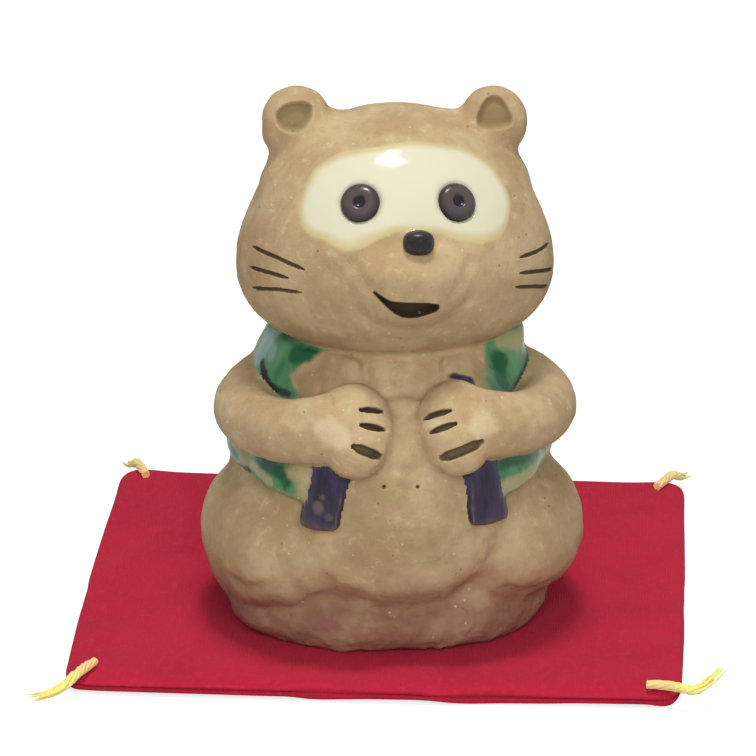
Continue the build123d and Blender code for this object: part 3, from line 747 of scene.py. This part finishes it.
# Painted shade inside the cuts and the mouth
cutShade = np.zeros(len(points))
dip = np.zeros(len(points))
for path, cut in cutPaths:
    taper = np.min([np.linalg.norm(points - np.array(end), axis=1) for end in (path[0], path[-1])], axis=0)
    half = cut["half"] * (0.45 + 0.55 * smoothStep(0, 2.0, taper)) if len(path) > 1 else cut["half"]
    share = (1 - smoothStep(0.45, 1.0, pathDistance(path) / half)) * ofKind(cut["on"])[pointOwner]
    dip = np.maximum(dip, share * cut["depth"])
    cutShade = np.maximum(cutShade, smoothStep(0.02, 0.3, share) * cut["dark"])
points -= normals * dip[:, None]
headLocal = inHead()
inward = np.array(headTurn @ Vector((0, 1, 0)))
hollowShade = np.zeros(len(points))
for opening in earHollows + [mouth]:
    depth = insideOutline(opening["outline"], headLocal[:, [0, 2]])
    depth = np.where(headLocal[:, 1] < opening["front"], depth, -9)
    points += np.outer(smoothStep(*opening["slope"], depth) * opening["depth"], inward)
    if opening is mouth:
        cutShade = np.maximum(cutShade, 0.95 * smoothStep(-0.3, -0.1, depth))
    else:
        hollowShade = np.maximum(hollowShade, smoothStep(-0.2, 0.8, depth))
points[:, 2] = np.maximum(points[:, 2], figure["footHeight"] + 0.02)
setPoints(skinMesh, points)
print("cuts made, skin:", len(points), "points")

# The mask's outline on the face, across and up in the head's own frame
maskOutline = rounded([(-21.4, 7.8), (-16.2, 6.0), (-12.3, 4.2), (-8.3, 6.5), (-4.2, 8.3), (-1.8, 9.1),
                       (5.5, 8.4), (9.2, 6.7), (14.6, 5.8), (19.5, 6.7), (21.2, 10), (21.6, 15.6),
                       (18.6, 20.5), (14.4, 23.8), (7.9, 25.5), (0.6, 26.0), (-6.6, 25.1), (-14.2, 23.4),
                       (-18.6, 20.4), (-21, 16.4), (-22, 12.5)])
eyeMiddles = [(11.2, -24, 100.4), (-8.4, -24.4, 101)]
# Where the vest's glaze stops on the chest, up and across, on the figure's right
rightGlazeEdge = [(56, -22.5), (59.4, -20.6), (60.7, -22.3), (62.8, -20.3), (65.7, -17.2), (68, -12)]
# Dabs of glaze, of wear with painted highlight, and of painted shadow: a path in mm, a reach and a strength
dabs = {
    "milky": [([(-26.4, -4.7, 64.8), (-28.3, -3.5, 60.8)], 3.8, 0.8), ([(-25.6, -8, 63.6)], 2.6, 0.5)],
    "pool": [([(-21.1, -14.2, 64.8), (-18.4, -16.4, 65)], 2.8, 1.0),
             ([(21.7, -15.3, 62.4), (21.5, -18.2, 59.6)], 3.4, 1.0),
             ([(-29.5, -18.5, 44), (-26.4, -24.9, 43.8), (-24.2, -28.2, 42.7)], 2.4, 1.0),
             ([(-24, -28.3, 42.9), (-24.6, -27.9, 40.6)], 0.9, 0.8),
             ([(20, -31.5, 46), (26, -26.5, 45.4), (31, -18, 44.4)], 2.4, 0.8)],
    "thin": [([(-32.8, -10.1, 40.8), (-29.6, -19.3, 41.1), (-27.5, -24.1, 40.5)], 1.5, 0.9),
             ([(19, -33, 40.4), (25.5, -26.5, 40.4), (33, -10, 39.4)], 2.2, 0.9),
             ([(-33.6, -6, 43), (-32.4, -13, 43.4)], 2.4, 0.9),
             ([(27, -6, 63.5), (22, -12, 66)], 3.0, 0.9), ([(-21.6, -16.4, 60.6), (-20, -19, 58)], 1.2, 0.9)],
    # The first trim dab is painted shadow under the hem's overhang; the second is dark glaze at the armhole
    "trimAndHemShadow": [([(-33.6, -3, 36.8), (-31.6, -13.6, 39)], 1.1, 0.9),
             ([(-27.9, -6.4, 60.8), (-27.2, -10.3, 58.5), (-25.9, -13.4, 57.4), (-22.7, -18.4, 57.4)],
              1.1, 1.0)],
    # Pale wear and painted highlight on the hands, an arm, the chest and the foot
    "wearAndHighlight": [([(-16.6, -38.6, 56.9), (-14.4, -38.8, 55.6)], 3.6, 0.7), ([(15.4, -38.4, 57)], 3.8, 0.65),
             ([(-35, -14, 52), (-32, -22, 50)], 6.0, 0.4), ([(3, -28, 68), (-10, -26, 67)], 4.0, 0.3),
             ([(4, -36, 57), (7.5, -38.6, 57.2)], 1.3, 0.5),
             ([(16, -28.5, 14), (14, -28.5, 14.6)], 3.0, 0.6)],
    "bare": [([(-22.4, -29.4, 45), (-19.6, -31.4, 44.5), (-19.8, -31, 41)], 3.6, 0.9)],
    "blot": [([(11.0, -26, 62.8), (14.2, -26, 62.2)], 1.7, 1.0)],
    "speck": [([(-18.3, -34.7, 38.6)], 1.7, 0.8), ([(-17.4, -35, 41)], 0.9, 0.6),
              ([(-16, -36, 36.9)], 1.1, 0.5)],
}
# Where the glazes end and how far the vest's fume reaches, in mm
glazeEnds = {"chest": (53, 56), "chestBack": -2, "leftChest": 18.4, "trimOut": 22, "trimAbove": 54,
             "band": (48, 51), "hem": 38.8, "vest": (30, 74), "fumeReach": 4.0}

# Hollows are where the skin lies below its own smoothed form
normals = meshNormals(skinMesh)
onBelly, crusted = crustShares()[1:]
soften = skin.modifiers.new("soften", "SMOOTH")
soften.factor = 0.5
soften.iterations = figure["hollowRounds"]
hollow = ((meshPoints(applied(skin)) - points) * normals).sum(1)
skin.modifiers.clear()
isHead, isVest, isBand = [ofKind(word)[pointOwner] for word in ("head_", "vest", "band")]
across, backward, height = points.T
painted = {}
for layer, strokes in dabs.items():
    painted[layer] = np.zeros(len(points))
    for path, reach, strength in strokes:
        distance = pathDistance([Vector(point) for point in path])
        close = distance < 1.6 * reach
        distance[close] += 0.22 * reach * noiseAt(points[close], 1.5, 9.0)
        painted[layer] = np.maximum(painted[layer],
                                    strength * (1 - smoothStep(0.45 * reach, reach, distance)))
upper = smoothStep(*glazeEnds["chest"], height) * (backward < glazeEnds["chestBack"])
leftTrim = isVest & (across > glazeEnds["trimOut"])
leftTrim &= (height > glazeEnds["trimAbove"]) & (height < vestCover["armAbove"])
armFar = distanceFrom(ofKind("left_arm")[pointOwner], leftTrim)
painted["trimAndHemShadow"] = np.maximum(painted["trimAndHemShadow"], leftTrim * 0.9 * (1 - smoothStep(0.5, 1.4, armFar)))
glazed = 1 - painted["bare"]
edgeHeights, edgeAcross = np.array(rightGlazeEdge).T
rightChest = across - np.interp(height, edgeHeights, edgeAcross) + 0.7 * noiseAt(points, 2.0, 5.0)
glazed *= 1 - upper * (across < 0) * smoothStep(-0.8, 0.6, rightChest)
leftChest = glazeEnds["leftChest"] - across + 0.6 * noiseAt(points, 2.0, 6.0)
glazed *= 1 - upper * (across > 0) * smoothStep(-0.7, 0.7, leftChest)
bandGlaze = np.maximum(1 - smoothStep(*glazeEnds["band"], height), painted["blot"])
glazed = np.where(isBand, bandGlaze, glazed)
vestLow, vestHigh = glazeEnds["vest"]
hemEdge = 1 - smoothStep(0.2, 1.5, height - glazeEnds["hem"] + 0.5 * noiseAt(points, 2.5, 8.0))
thin = np.maximum(painted["thin"], 0.6 * hemEdge * (height > vestLow))
thin = np.where(isBand, np.maximum(painted["speck"], 0.75 * smoothStep(0.12, 0.5, -hollow)), thin)
vestFar = distanceFrom(isVest & (glazed > 0.5), (height > vestLow) & (height < vestHigh))
fumeAndHollowShade = 0.5 * (1 - smoothStep(0, glazeEnds["fumeReach"], vestFar))
fumeAndHollowShade *= smoothStep(-0.5, 0.4, noiseAt(points, 4.0, 3.0))

maskDepth = insideOutline(maskOutline, headLocal[:, [0, 2]])
maskDepth = np.where(isHead & (headLocal[:, 1] < -5), maskDepth, -99)
nearMask = maskDepth > -4
maskDepth[nearMask] += 0.35 * noiseAt(points[nearMask], 4.0)
rimWidth = 1.3 + 2.4 * (1 - smoothStep(6, 12, headLocal[:, 2]))
eyeFar = np.min([np.linalg.norm(points - np.array(middle), axis=1) for middle in eyeMiddles], axis=0)
smoky = (1 - smoothStep(4.0, 5.6, eyeFar)) * (0.3 + 0.3 * noiseAt(points, 2.2, 1.0))
# Painted shade in the ear hollows joins the copper fume, and some olive goes on the crusted belly
fumeAndHollowShade = np.maximum(fumeAndHollowShade, 0.45 * hollowShade + 0.3 * (1 - smoothStep(0.4, 1.1, onBelly)) * crusted)
# Painted shade and painted red light bounced from the mat: darker and redder towards the foot
footShadeAndBounce = (1 - smoothStep(11, 24, height + 3 * noiseAt(points, 7.0, 6.5))) * (0.85 - 0.2 * crusted)
# Painted shade in hollows and ear hollows, and pale wear with painted highlight on high spots
layers = {"footShadeAndBounce": footShadeAndBounce, "creaseShade": np.minimum(1, 0.7 * smoothStep(0.05, 0.8, hollow) + 0.6 * hollowShade),
          "wearAndHighlight": np.maximum(0.4 * smoothStep(0.1, 0.8, -hollow), painted["wearAndHighlight"]), "cut": cutShade,
          "fumeAndHollowShade": fumeAndHollowShade * np.where(isHead, 0.4, 1), "milky": painted["milky"], "pool": painted["pool"],
          "trimAndHemShadow": painted["trimAndHemShadow"], "thin": thin, "glaze": glazed,
          "maskGlaze": smoothStep(-0.6, 1.0, maskDepth),
          "honey": 0.95 * (1 - smoothStep(0, 1, maskDepth / rimWidth)), "smoke": np.maximum(smoky, 0)}
print("glazes painted")

# Cut into the pieces again, each closed by a wall inside it
for layer, values in layers.items():
    setAttribute(skinMesh, layer, values)
innerLayer = skinMesh.attributes.new("inner", "FLOAT_VECTOR", "POINT")
innerLayer.data.foreach_set("vector", (innerPoints * mm).ravel())
for index, nodeName in enumerate(skinNodes):
    bm = bmesh.new()
    bm.from_mesh(skinMesh)
    owner, inner = bm.faces.layers.int["piece"], bm.verts.layers.float_vector["inner"]
    bmesh.ops.delete(bm, geom=[face for face in bm.faces if face[owner] != index], context="FACES")
    for edge in bm.edges:
        edge.smooth = not edge.is_boundary
    wall = bmesh.ops.extrude_face_region(bm, geom=bm.faces[:], use_keep_orig=True)["geom"]
    for vertex in [item for item in wall if isinstance(item, bmesh.types.BMVert)]:
        vertex.co = vertex[inner]
    bmesh.ops.recalc_face_normals(bm, faces=bm.faces)
    material, slotName = ((violetMaterial, "violet_glaze") if nodeName in bandNodes
                          else (greenMaterial, "green_glaze") if nodeName in vestNodes
                          else (clayMaterial, "stoneware"))
    pieceMesh = meshFrom(bm, nodeName + "_clay")
    seat(addObject(nodeName + "_clay", pieceMesh, material), "figure", slotName, nodeName)
bpy.data.objects.remove(skin)
print("skin cut into", len(skinNodes), "pieces")

# Eyes: pellets of dark slip under a clear glaze, with a pricked pupil
# A ring's colour starts and is full at these distances from the middle, in mm
eyes = {"brown": "#4B4140", "rings": [(2.6, 3.9, "#2E2827"), (1.55, 1.1, "#12111B")], "grime": 0.9,
        "roughness": 0.16, "specular": 0.3, "steps": 64,
        "profile": [(0, -0.6), (0.7, -0.55), (1.15, -0.3), (1.45, 0.0), (1.9, 0.06), (2.6, -0.05),
                    (3.2, -0.25), (3.7, -0.55), (4.0, -1.0), (4.05, -1.6), (4.05, -3.0), (0, -3.0)]}

eyeMaterial, tree = newMaterial("dark_slip_under_clear_glaze")
place = addNode(tree, "ShaderNodeTexCoord").outputs["Object"]
out = addNode(tree, "ShaderNodeAttribute", attribute_name="fromPupil").outputs["Fac"]  # mm from the middle
colour = linear(eyes["brown"])
for low, high, tint in eyes["rings"]:
    share = addNode(tree, "ShaderNodeMapRange", {0: out, 1: low, 2: high}).outputs[0]
    colour = addNode(tree, "ShaderNodeMix", {0: share, 6: colour, 7: linear(tint)},
                     data_type="RGBA").outputs[2]
grime = addNode(tree, "ShaderNodeTexNoise",
                {"Vector": place, "Scale": 1 / (eyes["grime"] * mm), "Detail": 2.0})
dull = addNode(tree, "ShaderNodeMapRange",
               {0: grime.outputs[0], 3: eyes["roughness"], 4: 2 * eyes["roughness"]})
finishSurface(tree, {"Base Color": colour, "Roughness": dull.outputs[0],
                     "Specular IOR Level": eyes["specular"]})

for nodeName in ("left_eye", "right_eye"):
    nodePoints = meshPoints(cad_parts[nodeName].data)
    axes = np.linalg.svd(np.unique(nodePoints.round(3), axis=0) - nodePoints.mean(0), full_matrices=False)[2]
    outward = axes[2] if axes[2][1] < 0 else -axes[2]  # a pellet is shortest along its own axis
    spans = [(nodePoints @ axis).min() + (nodePoints @ axis).max() for axis in axes[:2]]
    middle = axes[0] * spans[0] / 2 + axes[1] * spans[1] / 2 + outward * (nodePoints @ outward).max()
    bm = bmesh.new()
    rim = [bm.verts.new(Vector(middle + axes[0] * radius + outward * height) * mm)
           for radius, height in eyes["profile"]]
    sides = [bm.edges.new(pair) for pair in zip(rim, rim[1:])]
    bmesh.ops.spin(bm, geom=rim + sides, cent=Vector(middle) * mm, axis=Vector(outward), angle=2 * math.pi,
                   steps=eyes["steps"], use_merge=True)
    bmesh.ops.remove_doubles(bm, verts=bm.verts, dist=0.01 * mm)
    bmesh.ops.recalc_face_normals(bm, faces=bm.faces)
    eyeMesh = meshFrom(bm, nodeName + "_pellet", smooth=True)
    step = meshPoints(eyeMesh) - middle
    setAttribute(eyeMesh, "fromPupil", np.linalg.norm(step - np.outer(step @ outward, outward), axis=1))
    seat(addObject(nodeName + "_pellet", eyeMesh, eyeMaterial), "figure", "eye_glaze", nodeName)

# Nose: a squeezed pellet in black glaze
nose = {"half": (3.2, 2.9, 2.6), "squareness": 0.82, "black": "#17171A", "brown": "#2B2420", "spot": 1.2,
        "spotEdge": (0.5, 0.7), "roughness": 0.2, "specular": 0.3}

noseMaterial, tree = newMaterial("black_iron_glaze")
place = addNode(tree, "ShaderNodeTexCoord").outputs["Object"]
spots = addNode(tree, "ShaderNodeTexNoise",
                {"Vector": place, "Scale": 1 / (nose["spot"] * mm), "Detail": 3.0})
low, high = nose["spotEdge"]
share = addNode(tree, "ShaderNodeMapRange", {0: spots.outputs[0], 1: low, 2: high})
colour = addNode(tree, "ShaderNodeMix",
                 {0: share.outputs[0], 6: linear(nose["black"]), 7: linear(nose["brown"])}, data_type="RGBA")
dull = addNode(tree, "ShaderNodeMapRange",
               {0: spots.outputs[0], 3: nose["roughness"], 4: 2 * nose["roughness"]})
finishSurface(tree, {"Base Color": colour.outputs[2], "Roughness": dull.outputs[0],
                     "Specular IOR Level": nose["specular"]})

lowCorner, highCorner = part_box("nose")
bm = bmesh.new()
for vertex in bmesh.ops.create_uvsphere(bm, u_segments=48, v_segments=32, radius=1)["verts"]:
    boxed = [math.copysign(abs(value) ** nose["squareness"], value) * half
             for value, half in zip(vertex.co, nose["half"])]
    vertex.co = (lowCorner + highCorner) / 2 + headTurn @ Vector(boxed) * mm
noseMesh = meshFrom(bm, "nose_pellet", smooth=True)
seat(addObject("nose_pellet", noseMesh, noseMaterial), "figure", "black_glaze", "nose")
print("eyes and nose set")


# Mat: a thin pad of wadding in a two-sided cotton cover, sewn round the edge
mat = {"centre": (0.6, 11.9), "turn": -8.8, "width": 129.0, "depth": 120.0, "height": 3.4, "corner": 5.0,
       "bow": 0.8, "cell": 3.0, "rings": [(0.25, 1.25), (0.0, 0.6), (0.55, 0.0)], "ringInset": 1.1,
       "cloth": 0.45, "pressure": 3.5, "frames": 18, "swell": 0.42, "standRadius": (36, 33),
       "standMiddle": (0, -3), "red": "#BD263E", "redDark": "#A41E36", "redPale": "#C7354A", "thread": 0.55,
       "fade": (16, 4.0), "lint": (1.4, 3.0), "fluff": (2.0, 5.0), "wadding": "#E8E2D4",
       "waddingDark": "#CFC7B6", "coverDepth": 0.75}
matFrame = (Matrix.Translation(Vector((mat["centre"][0], mat["centre"][1], 0)))
            @ Matrix.Rotation(math.radians(mat["turn"]), 4, "Z"))

clothMaterial, tree = newMaterial("red_plain_weave_cotton")
place = addNode(tree, "ShaderNodeTexCoord").outputs["Object"]
turned = addNode(tree, "ShaderNodeMapping", {"Vector": place, "Rotation": (0, 0, -math.radians(mat["turn"]))})
# Threads lie about 0.3 mm apart, too fine to show, so they are drawn wider. A wave has 20 / 2 pi bands a unit
bands = 0.314 / (mat["thread"] * mm)
warp, weft = [addNode(tree, "ShaderNodeTexWave", {"Vector": turned.outputs[0], "Scale": bands,
                                                  "Distortion": 0.6, "Detail": 1.0, "Detail Scale": 0.6},
                      bands_direction=direction).outputs["Fac"]
              for direction in ("X", "Y")]
weave = addNode(tree, "ShaderNodeMath", {0: warp, 1: weft}, operation="MULTIPLY").outputs[0]
fade, lint = [addNode(tree, "ShaderNodeTexNoise", {"Vector": turned.outputs[0], "Scale": 1 / (size * mm),
                                                   "Detail": detail}).outputs[0]
              for size, detail in (mat["fade"], mat["lint"])]
colour = linear(mat["red"])
for source, low, high, least, most, tint in ((fade, 0.35, 0.7, 0.0, 0.55, "redDark"),
                                             (lint, 0.52, 0.75, 0.0, 0.5, "redPale"),
                                             (weave, 0.0, 0.5, 0.4, 0.0, "redDark")):
    share = addNode(tree, "ShaderNodeMapRange", {0: source, 1: low, 2: high, 3: least, 4: most}).outputs[0]
    colour = addNode(tree, "ShaderNodeMix", {0: share, 6: colour, 7: linear(mat[tint])},
                     data_type="RGBA").outputs[2]
height = addNode(tree, "ShaderNodeMath", {0: weave, 1: lint}, operation="ADD").outputs[0]
finishSurface(tree, {"Base Color": colour, "Roughness": 0.95, "Specular IOR Level": 0.05,
                     "Sheen Weight": 0.03, "Sheen Roughness": 0.5}, height, strength=0.35, depth=0.25)

waddingMaterial, tree = newMaterial("cotton_wadding")
place = addNode(tree, "ShaderNodeTexCoord").outputs["Object"]
size, detail = mat["fluff"]
fluff = addNode(tree, "ShaderNodeTexNoise",
                {"Vector": place, "Scale": 1 / (size * mm), "Detail": detail}).outputs[0]
tone = addNode(tree, "ShaderNodeMix", {0: fluff, 6: linear(mat["wadding"]), 7: linear(mat["waddingDark"])},
               data_type="RGBA")
finishSurface(tree, {"Base Color": tone.outputs[2], "Roughness": 1.0}, fluff, strength=0.6, depth=0.4)


def matOutline(spot):  # the rounded, bowed outline: from a plain rectangle to the mat's own
    halfWide, halfDeep = mat["width"] / 2 - mat["ringInset"], mat["depth"] / 2 - mat["ringInset"]
    x, y = spot.x * 2 * halfWide, spot.y * 2 * halfDeep
    overX, overY = abs(x) - (halfWide - mat["corner"]), abs(y) - (halfDeep - mat["corner"])
    if overX > 0 and overY > 0:
        shrink = max(overX, overY) / math.hypot(overX, overY)
        x = math.copysign(halfWide - mat["corner"] + overX * shrink, x)
        y = math.copysign(halfDeep - mat["corner"] + overY * shrink, y)
    bowX = mat["bow"] * (1 - (y / halfDeep) ** 2) * x / halfWide
    bowY = mat["bow"] * (1 - (x / halfWide) ** 2) * y / halfDeep
    return Vector((x + bowX, y + bowY, mat["height"]))


bm = bmesh.new()
bmesh.ops.create_grid(bm, x_segments=round(mat["width"] / mat["cell"]),
                      y_segments=round(mat["depth"] / mat["cell"]), size=0.5)
for vertex in bm.verts:
    vertex.co = matOutline(vertex.co)
middleLevel = mat["height"] / 2
lastInset = mat["ringInset"]
for inset, level in mat["rings"]:  # down round the edge to the seam
    border = [edge for edge in bm.edges if edge.is_boundary]
    outwards = {}
    for edge in border:
        face = edge.link_faces[0]
        across = (edge.verts[0].co + edge.verts[1].co) / 2 - face.calc_center_median()
        along = (edge.verts[1].co - edge.verts[0].co).normalized()
        across -= along * across.dot(along)
        across.z = 0
        for vertex in edge.verts:
            outwards.setdefault(vertex, Vector()).xyz += across.normalized()
    grown = bmesh.ops.extrude_edge_only(bm, edges=border)["geom"]
    for vertex in [item for item in grown if isinstance(item, bmesh.types.BMVert)]:
        source = min(outwards, key=lambda item: (item.co - vertex.co).length_squared)
        vertex.co += outwards[source].normalized() * (lastInset - inset)
        vertex.co.z = middleLevel + level
    lastInset = inset
bmesh.ops.recalc_face_normals(bm, faces=bm.faces)
if sum(face.normal.z for face in bm.faces) < 0:
    bmesh.ops.reverse_faces(bm, faces=bm.faces)
topFaces = len(bm.faces)
under = bmesh.ops.duplicate(bm, geom=bm.verts[:] + bm.edges[:] + bm.faces[:])["geom"]
for item in under:
    if isinstance(item, bmesh.types.BMVert):
        item.co.z = mat["height"] - item.co.z
bmesh.ops.reverse_faces(bm, faces=[item for item in under if isinstance(item, bmesh.types.BMFace)])
bmesh.ops.remove_doubles(bm, verts=bm.verts, dist=0.02)
bmesh.ops.transform(bm, matrix=Matrix.Scale(mm, 4) @ matFrame, verts=bm.verts)
padMesh = meshFrom(bm, "pad")
pad = addObject("pad", padMesh, clothMaterial)
flatPoints = meshPoints(padMesh)

stand = (flatPoints[:, :2] - np.array(mat["standMiddle"])) / np.array(mat["standRadius"])
under = 1 - smoothStep(0.92, 1.15, np.linalg.norm(stand, axis=1))
pins = pad.vertex_groups.new(name="held")
for index, share in enumerate(under):
    if share > 0.02:
        pins.add([index], float(share), "REPLACE")
cloth = pad.modifiers.new("cloth", "CLOTH")
cloth.settings.quality = 5
cloth.settings.mass = 0.15
cloth.settings.tension_stiffness = 20
cloth.settings.compression_stiffness = 20
cloth.settings.bending_stiffness = 0.5
cloth.settings.shrink_min = -0.02
cloth.settings.vertex_group_mass = "held"
cloth.settings.use_pressure = True
cloth.settings.uniform_pressure_force = mat["pressure"]
cloth.settings.effector_weights.gravity = 0
for frameNumber in range(1, mat["frames"] + 1):
    scene.frame_set(frameNumber)
swollen = meshPoints(applied(pad))
scene.frame_set(1)
pad.modifiers.clear()
moved = swollen - flatPoints
moved[:, :2] *= 0.6
length = np.linalg.norm(moved, axis=1, keepdims=True)
moved *= np.minimum(1, mat["swell"] / np.maximum(length, 1e-9))  # the wadding fills it only so far
padPoints = flatPoints + moved
creep = noiseAt(padPoints, 13.0, 3.3) * 0.22 + noiseAt(padPoints, 5.0, 1.7) * 0.1
onTop = flatPoints[:, 2] > middleLevel + 0.9
padPoints[:, 2] += np.where(onTop, creep, 0) * (1 - under)
pressed = np.minimum(padPoints[:, 2], mat["height"] - 0.02 * under)
padPoints[:, 2] = np.where(onTop & (under > 0), pressed, padPoints[:, 2])
padPoints[:, 2] = np.maximum(padPoints[:, 2], 0.01)
setPoints(padMesh, padPoints)
print("mat swollen by", round(float(length.max()), 2), "mm before the cap")

for nodeName, isTop in (("mat_top_cover", True), ("mat_bottom_cover", False)):
    bm = bmesh.new()
    bm.from_mesh(padMesh)
    bmesh.ops.delete(bm, geom=[face for face in bm.faces if (face.index < topFaces) != isTop],
                     context="FACES")
    cover = addObject(nodeName + "_cloth", meshFrom(bm, nodeName + "_cloth", smooth=True), clothMaterial)
    finer = cover.modifiers.new("finer", "SUBSURF")
    finer.levels = finer.render_levels = 2
    thick = cover.modifiers.new("cloth", "SOLIDIFY")
    thick.thickness = mat["cloth"] * mm
    thick.offset = -1
    seat(cover, "mat", "mat_cloth", nodeName)

waddingMesh = padMesh.copy()
waddingMesh.name = "mat_batting_wadding"
setPoints(waddingMesh, padPoints - meshNormals(padMesh) * mat["coverDepth"])
waddingMesh.polygons.foreach_set("use_smooth", np.ones(len(waddingMesh.polygons), bool))
wadding = addObject("mat_batting_wadding", waddingMesh, waddingMaterial)
seat(wadding, "mat", "batting", "mat_batting")
bpy.data.objects.remove(pad)
print("mat made")


# Corner tufts: a few twists of soft yarn, tied through the mat and frayed at the end
tufts = {"diameter": 2.2, "rest": 0.05, "strands": 9, "strand": 0.46, "spread": 0.62, "fray": 1.15,
         "turns": 1.6, "yellow": "#F1DD6C", "pale": "#F8EDA0", "peach": "#F2C58A", "fibre": 0.7, "seed": 5}
tuftRoutes = {
    "front_right": [(-1, -1), (6.4, 6.6, 1.03), (4.8, 3.2, 1.07), (3.4, -0.6, 1.13),
                    (1.0, -3.2, 0.54), (-2.6, -4.0, 0.07), (-6.8, -5.4, 0.01)],
    "front_left": [(1, -1), (-7.4, 1.8, 1.03), (-3.8, 1.6, 1.07), (-0.2, -0.4, 1.13),
                   (2.8, -1.4, 1.05), (5.8, 0.4, 1.6), (8.6, 2.8, 2.4)],
    "back_left": [(1, 1), (-6.0, -7.4, 1.03), (-4.4, -4.0, 1.07), (-2.6, -0.4, 1.13),
                  (-1.2, 3.2, 0.6), (-0.4, 6.6, 0.1), (0.8, 10.2, 0.01)],
    "back_right": [(-1, 1), (6.0, -7.2, 1.03), (4.8, -3.8, 1.07), (3.2, -0.2, 1.13),
                   (2.2, 3.4, 0.6), (1.0, 6.8, 0.1), (-0.6, 10.4, 0.01)],
}

yarnMaterial, tree = newMaterial("soft_rayon_yarn")
place = addNode(tree, "ShaderNodeTexCoord").outputs["Object"]
fibre = addNode(tree, "ShaderNodeTexNoise",
                {"Vector": place, "Scale": 1 / (tufts["fibre"] * mm), "Detail": 4.0})
along = addNode(tree, "ShaderNodeAttribute", attribute_name="along").outputs["Fac"]
colour = linear(tufts["yellow"])
for source, low, high, most, tint in ((fibre.outputs[0], 0.4, 0.65, 1.0, "pale"),
                                      (along, 0.42, 0.22, 0.75, "peach")):
    share = addNode(tree, "ShaderNodeMapRange", {0: source, 1: low, 2: high, 4: most}).outputs[0]
    colour = addNode(tree, "ShaderNodeMix", {0: share, 6: colour, 7: linear(tufts[tint])},
                     data_type="RGBA").outputs[2]
finishSurface(tree, {"Base Color": colour, "Roughness": 0.8, "Sheen Weight": 0.25}, fibre.outputs[0],
              strength=0.4, depth=0.2)

dice = random.Random(tufts["seed"])
for placeName, ((signX, signY), *steps) in tuftRoutes.items():
    routeCurve = bpy.data.curves.new(placeName + "_route", "CURVE")
    routeCurve.dimensions = "3D"
    spline = routeCurve.splines.new("NURBS")
    spline.points.add(len(steps) - 1)
    for point, (alongWidth, alongDepth, level) in zip(spline.points, steps):
        local = Vector((signX * mat["width"] / 2 + alongWidth, signY * mat["depth"] / 2 + alongDepth,
                        tufts["diameter"] / 2 + tufts["rest"] + level * mat["height"]))
        point.co = (*(matFrame @ local * mm), 1)
    spline.order_u = 3
    spline.use_endpoint_u = True
    spline.resolution_u = 8
    route = bpy.data.objects.new(placeName + "_route", routeCurve)
    scene.collection.objects.link(route)
    line = meshPoints(bpy.data.meshes.new_from_object(route))
    bpy.data.objects.remove(route)
    ahead = np.gradient(line, axis=0)
    ahead /= np.linalg.norm(ahead, axis=1, keepdims=True)
    beside = np.cross(ahead, (0, 0, 1))
    beside /= np.linalg.norm(beside, axis=1, keepdims=True)
    above = np.cross(beside, ahead)
    share = np.linspace(0, 1, len(line))
    bm = bmesh.new()
    alongValues = []
    for strand in range(tufts["strands"]):
        out = tufts["spread"] * (1 if strand < 6 else 0.3)
        fray = out * (1 + tufts["fray"] * smoothStep(0.5, 1, share))
        fray *= 0.8 + 0.2 * smoothStep(0, 0.15, share)
        turn = strand / 6 + tufts["turns"] * np.minimum(share, 0.62) + dice.uniform(-0.05, 0.05)
        angle = 2 * math.pi * turn
        flat = 1 - 0.55 * smoothStep(0.45, 0.9, share)
        wander = np.array([noise.noise(Vector((6 * value, strand * 3.1, 0))) for value in share])
        wander = wander * 0.3 * share
        path = (line + beside * ((fray * np.cos(angle) + wander)[:, None])
                + above * ((fray * np.sin(angle) * flat)[:, None]))
        keep = int(len(path) * dice.uniform(0.86, 1.0))
        radius = tufts["strand"] * (1 - 0.6 * smoothStep(0.55, 1.0, share))
        path[:, 2] = np.maximum(path[:, 2], radius + 0.05)
        strandCurve = bpy.data.curves.new("strand", "CURVE")
        strandCurve.dimensions = "3D"
        strandCurve.bevel_depth = mm
        strandCurve.bevel_resolution = 2
        strandCurve.use_fill_caps = True
        spline = strandCurve.splines.new("POLY")
        spline.points.add(keep - 1)
        for index, point in enumerate(spline.points):
            point.co = (*(path[index] * mm), 1)
            point.radius = radius[index] * (0.5 if index == keep - 1 else 1)
        strandObject = bpy.data.objects.new("strand", strandCurve)
        scene.collection.objects.link(strandObject)
        strandMesh = bpy.data.meshes.new_from_object(strandObject)
        bpy.data.objects.remove(strandObject)
        bm.from_mesh(strandMesh)
        alongValues += [share[np.argmin(((line - point) ** 2).sum(1))] for point in meshPoints(strandMesh)]
    tuftMesh = meshFrom(bm, placeName + "_tuft_yarn", smooth=True)
    setAttribute(tuftMesh, "along", alongValues)
    seat(addObject(placeName + "_tuft_yarn", tuftMesh, yarnMaterial), "mat", "tuft_yarn", placeName + "_tuft")
print("tufts made")

size = {"cad": [list(corner) for corner in cadBox], "visual": [list(corner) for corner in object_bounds()]}
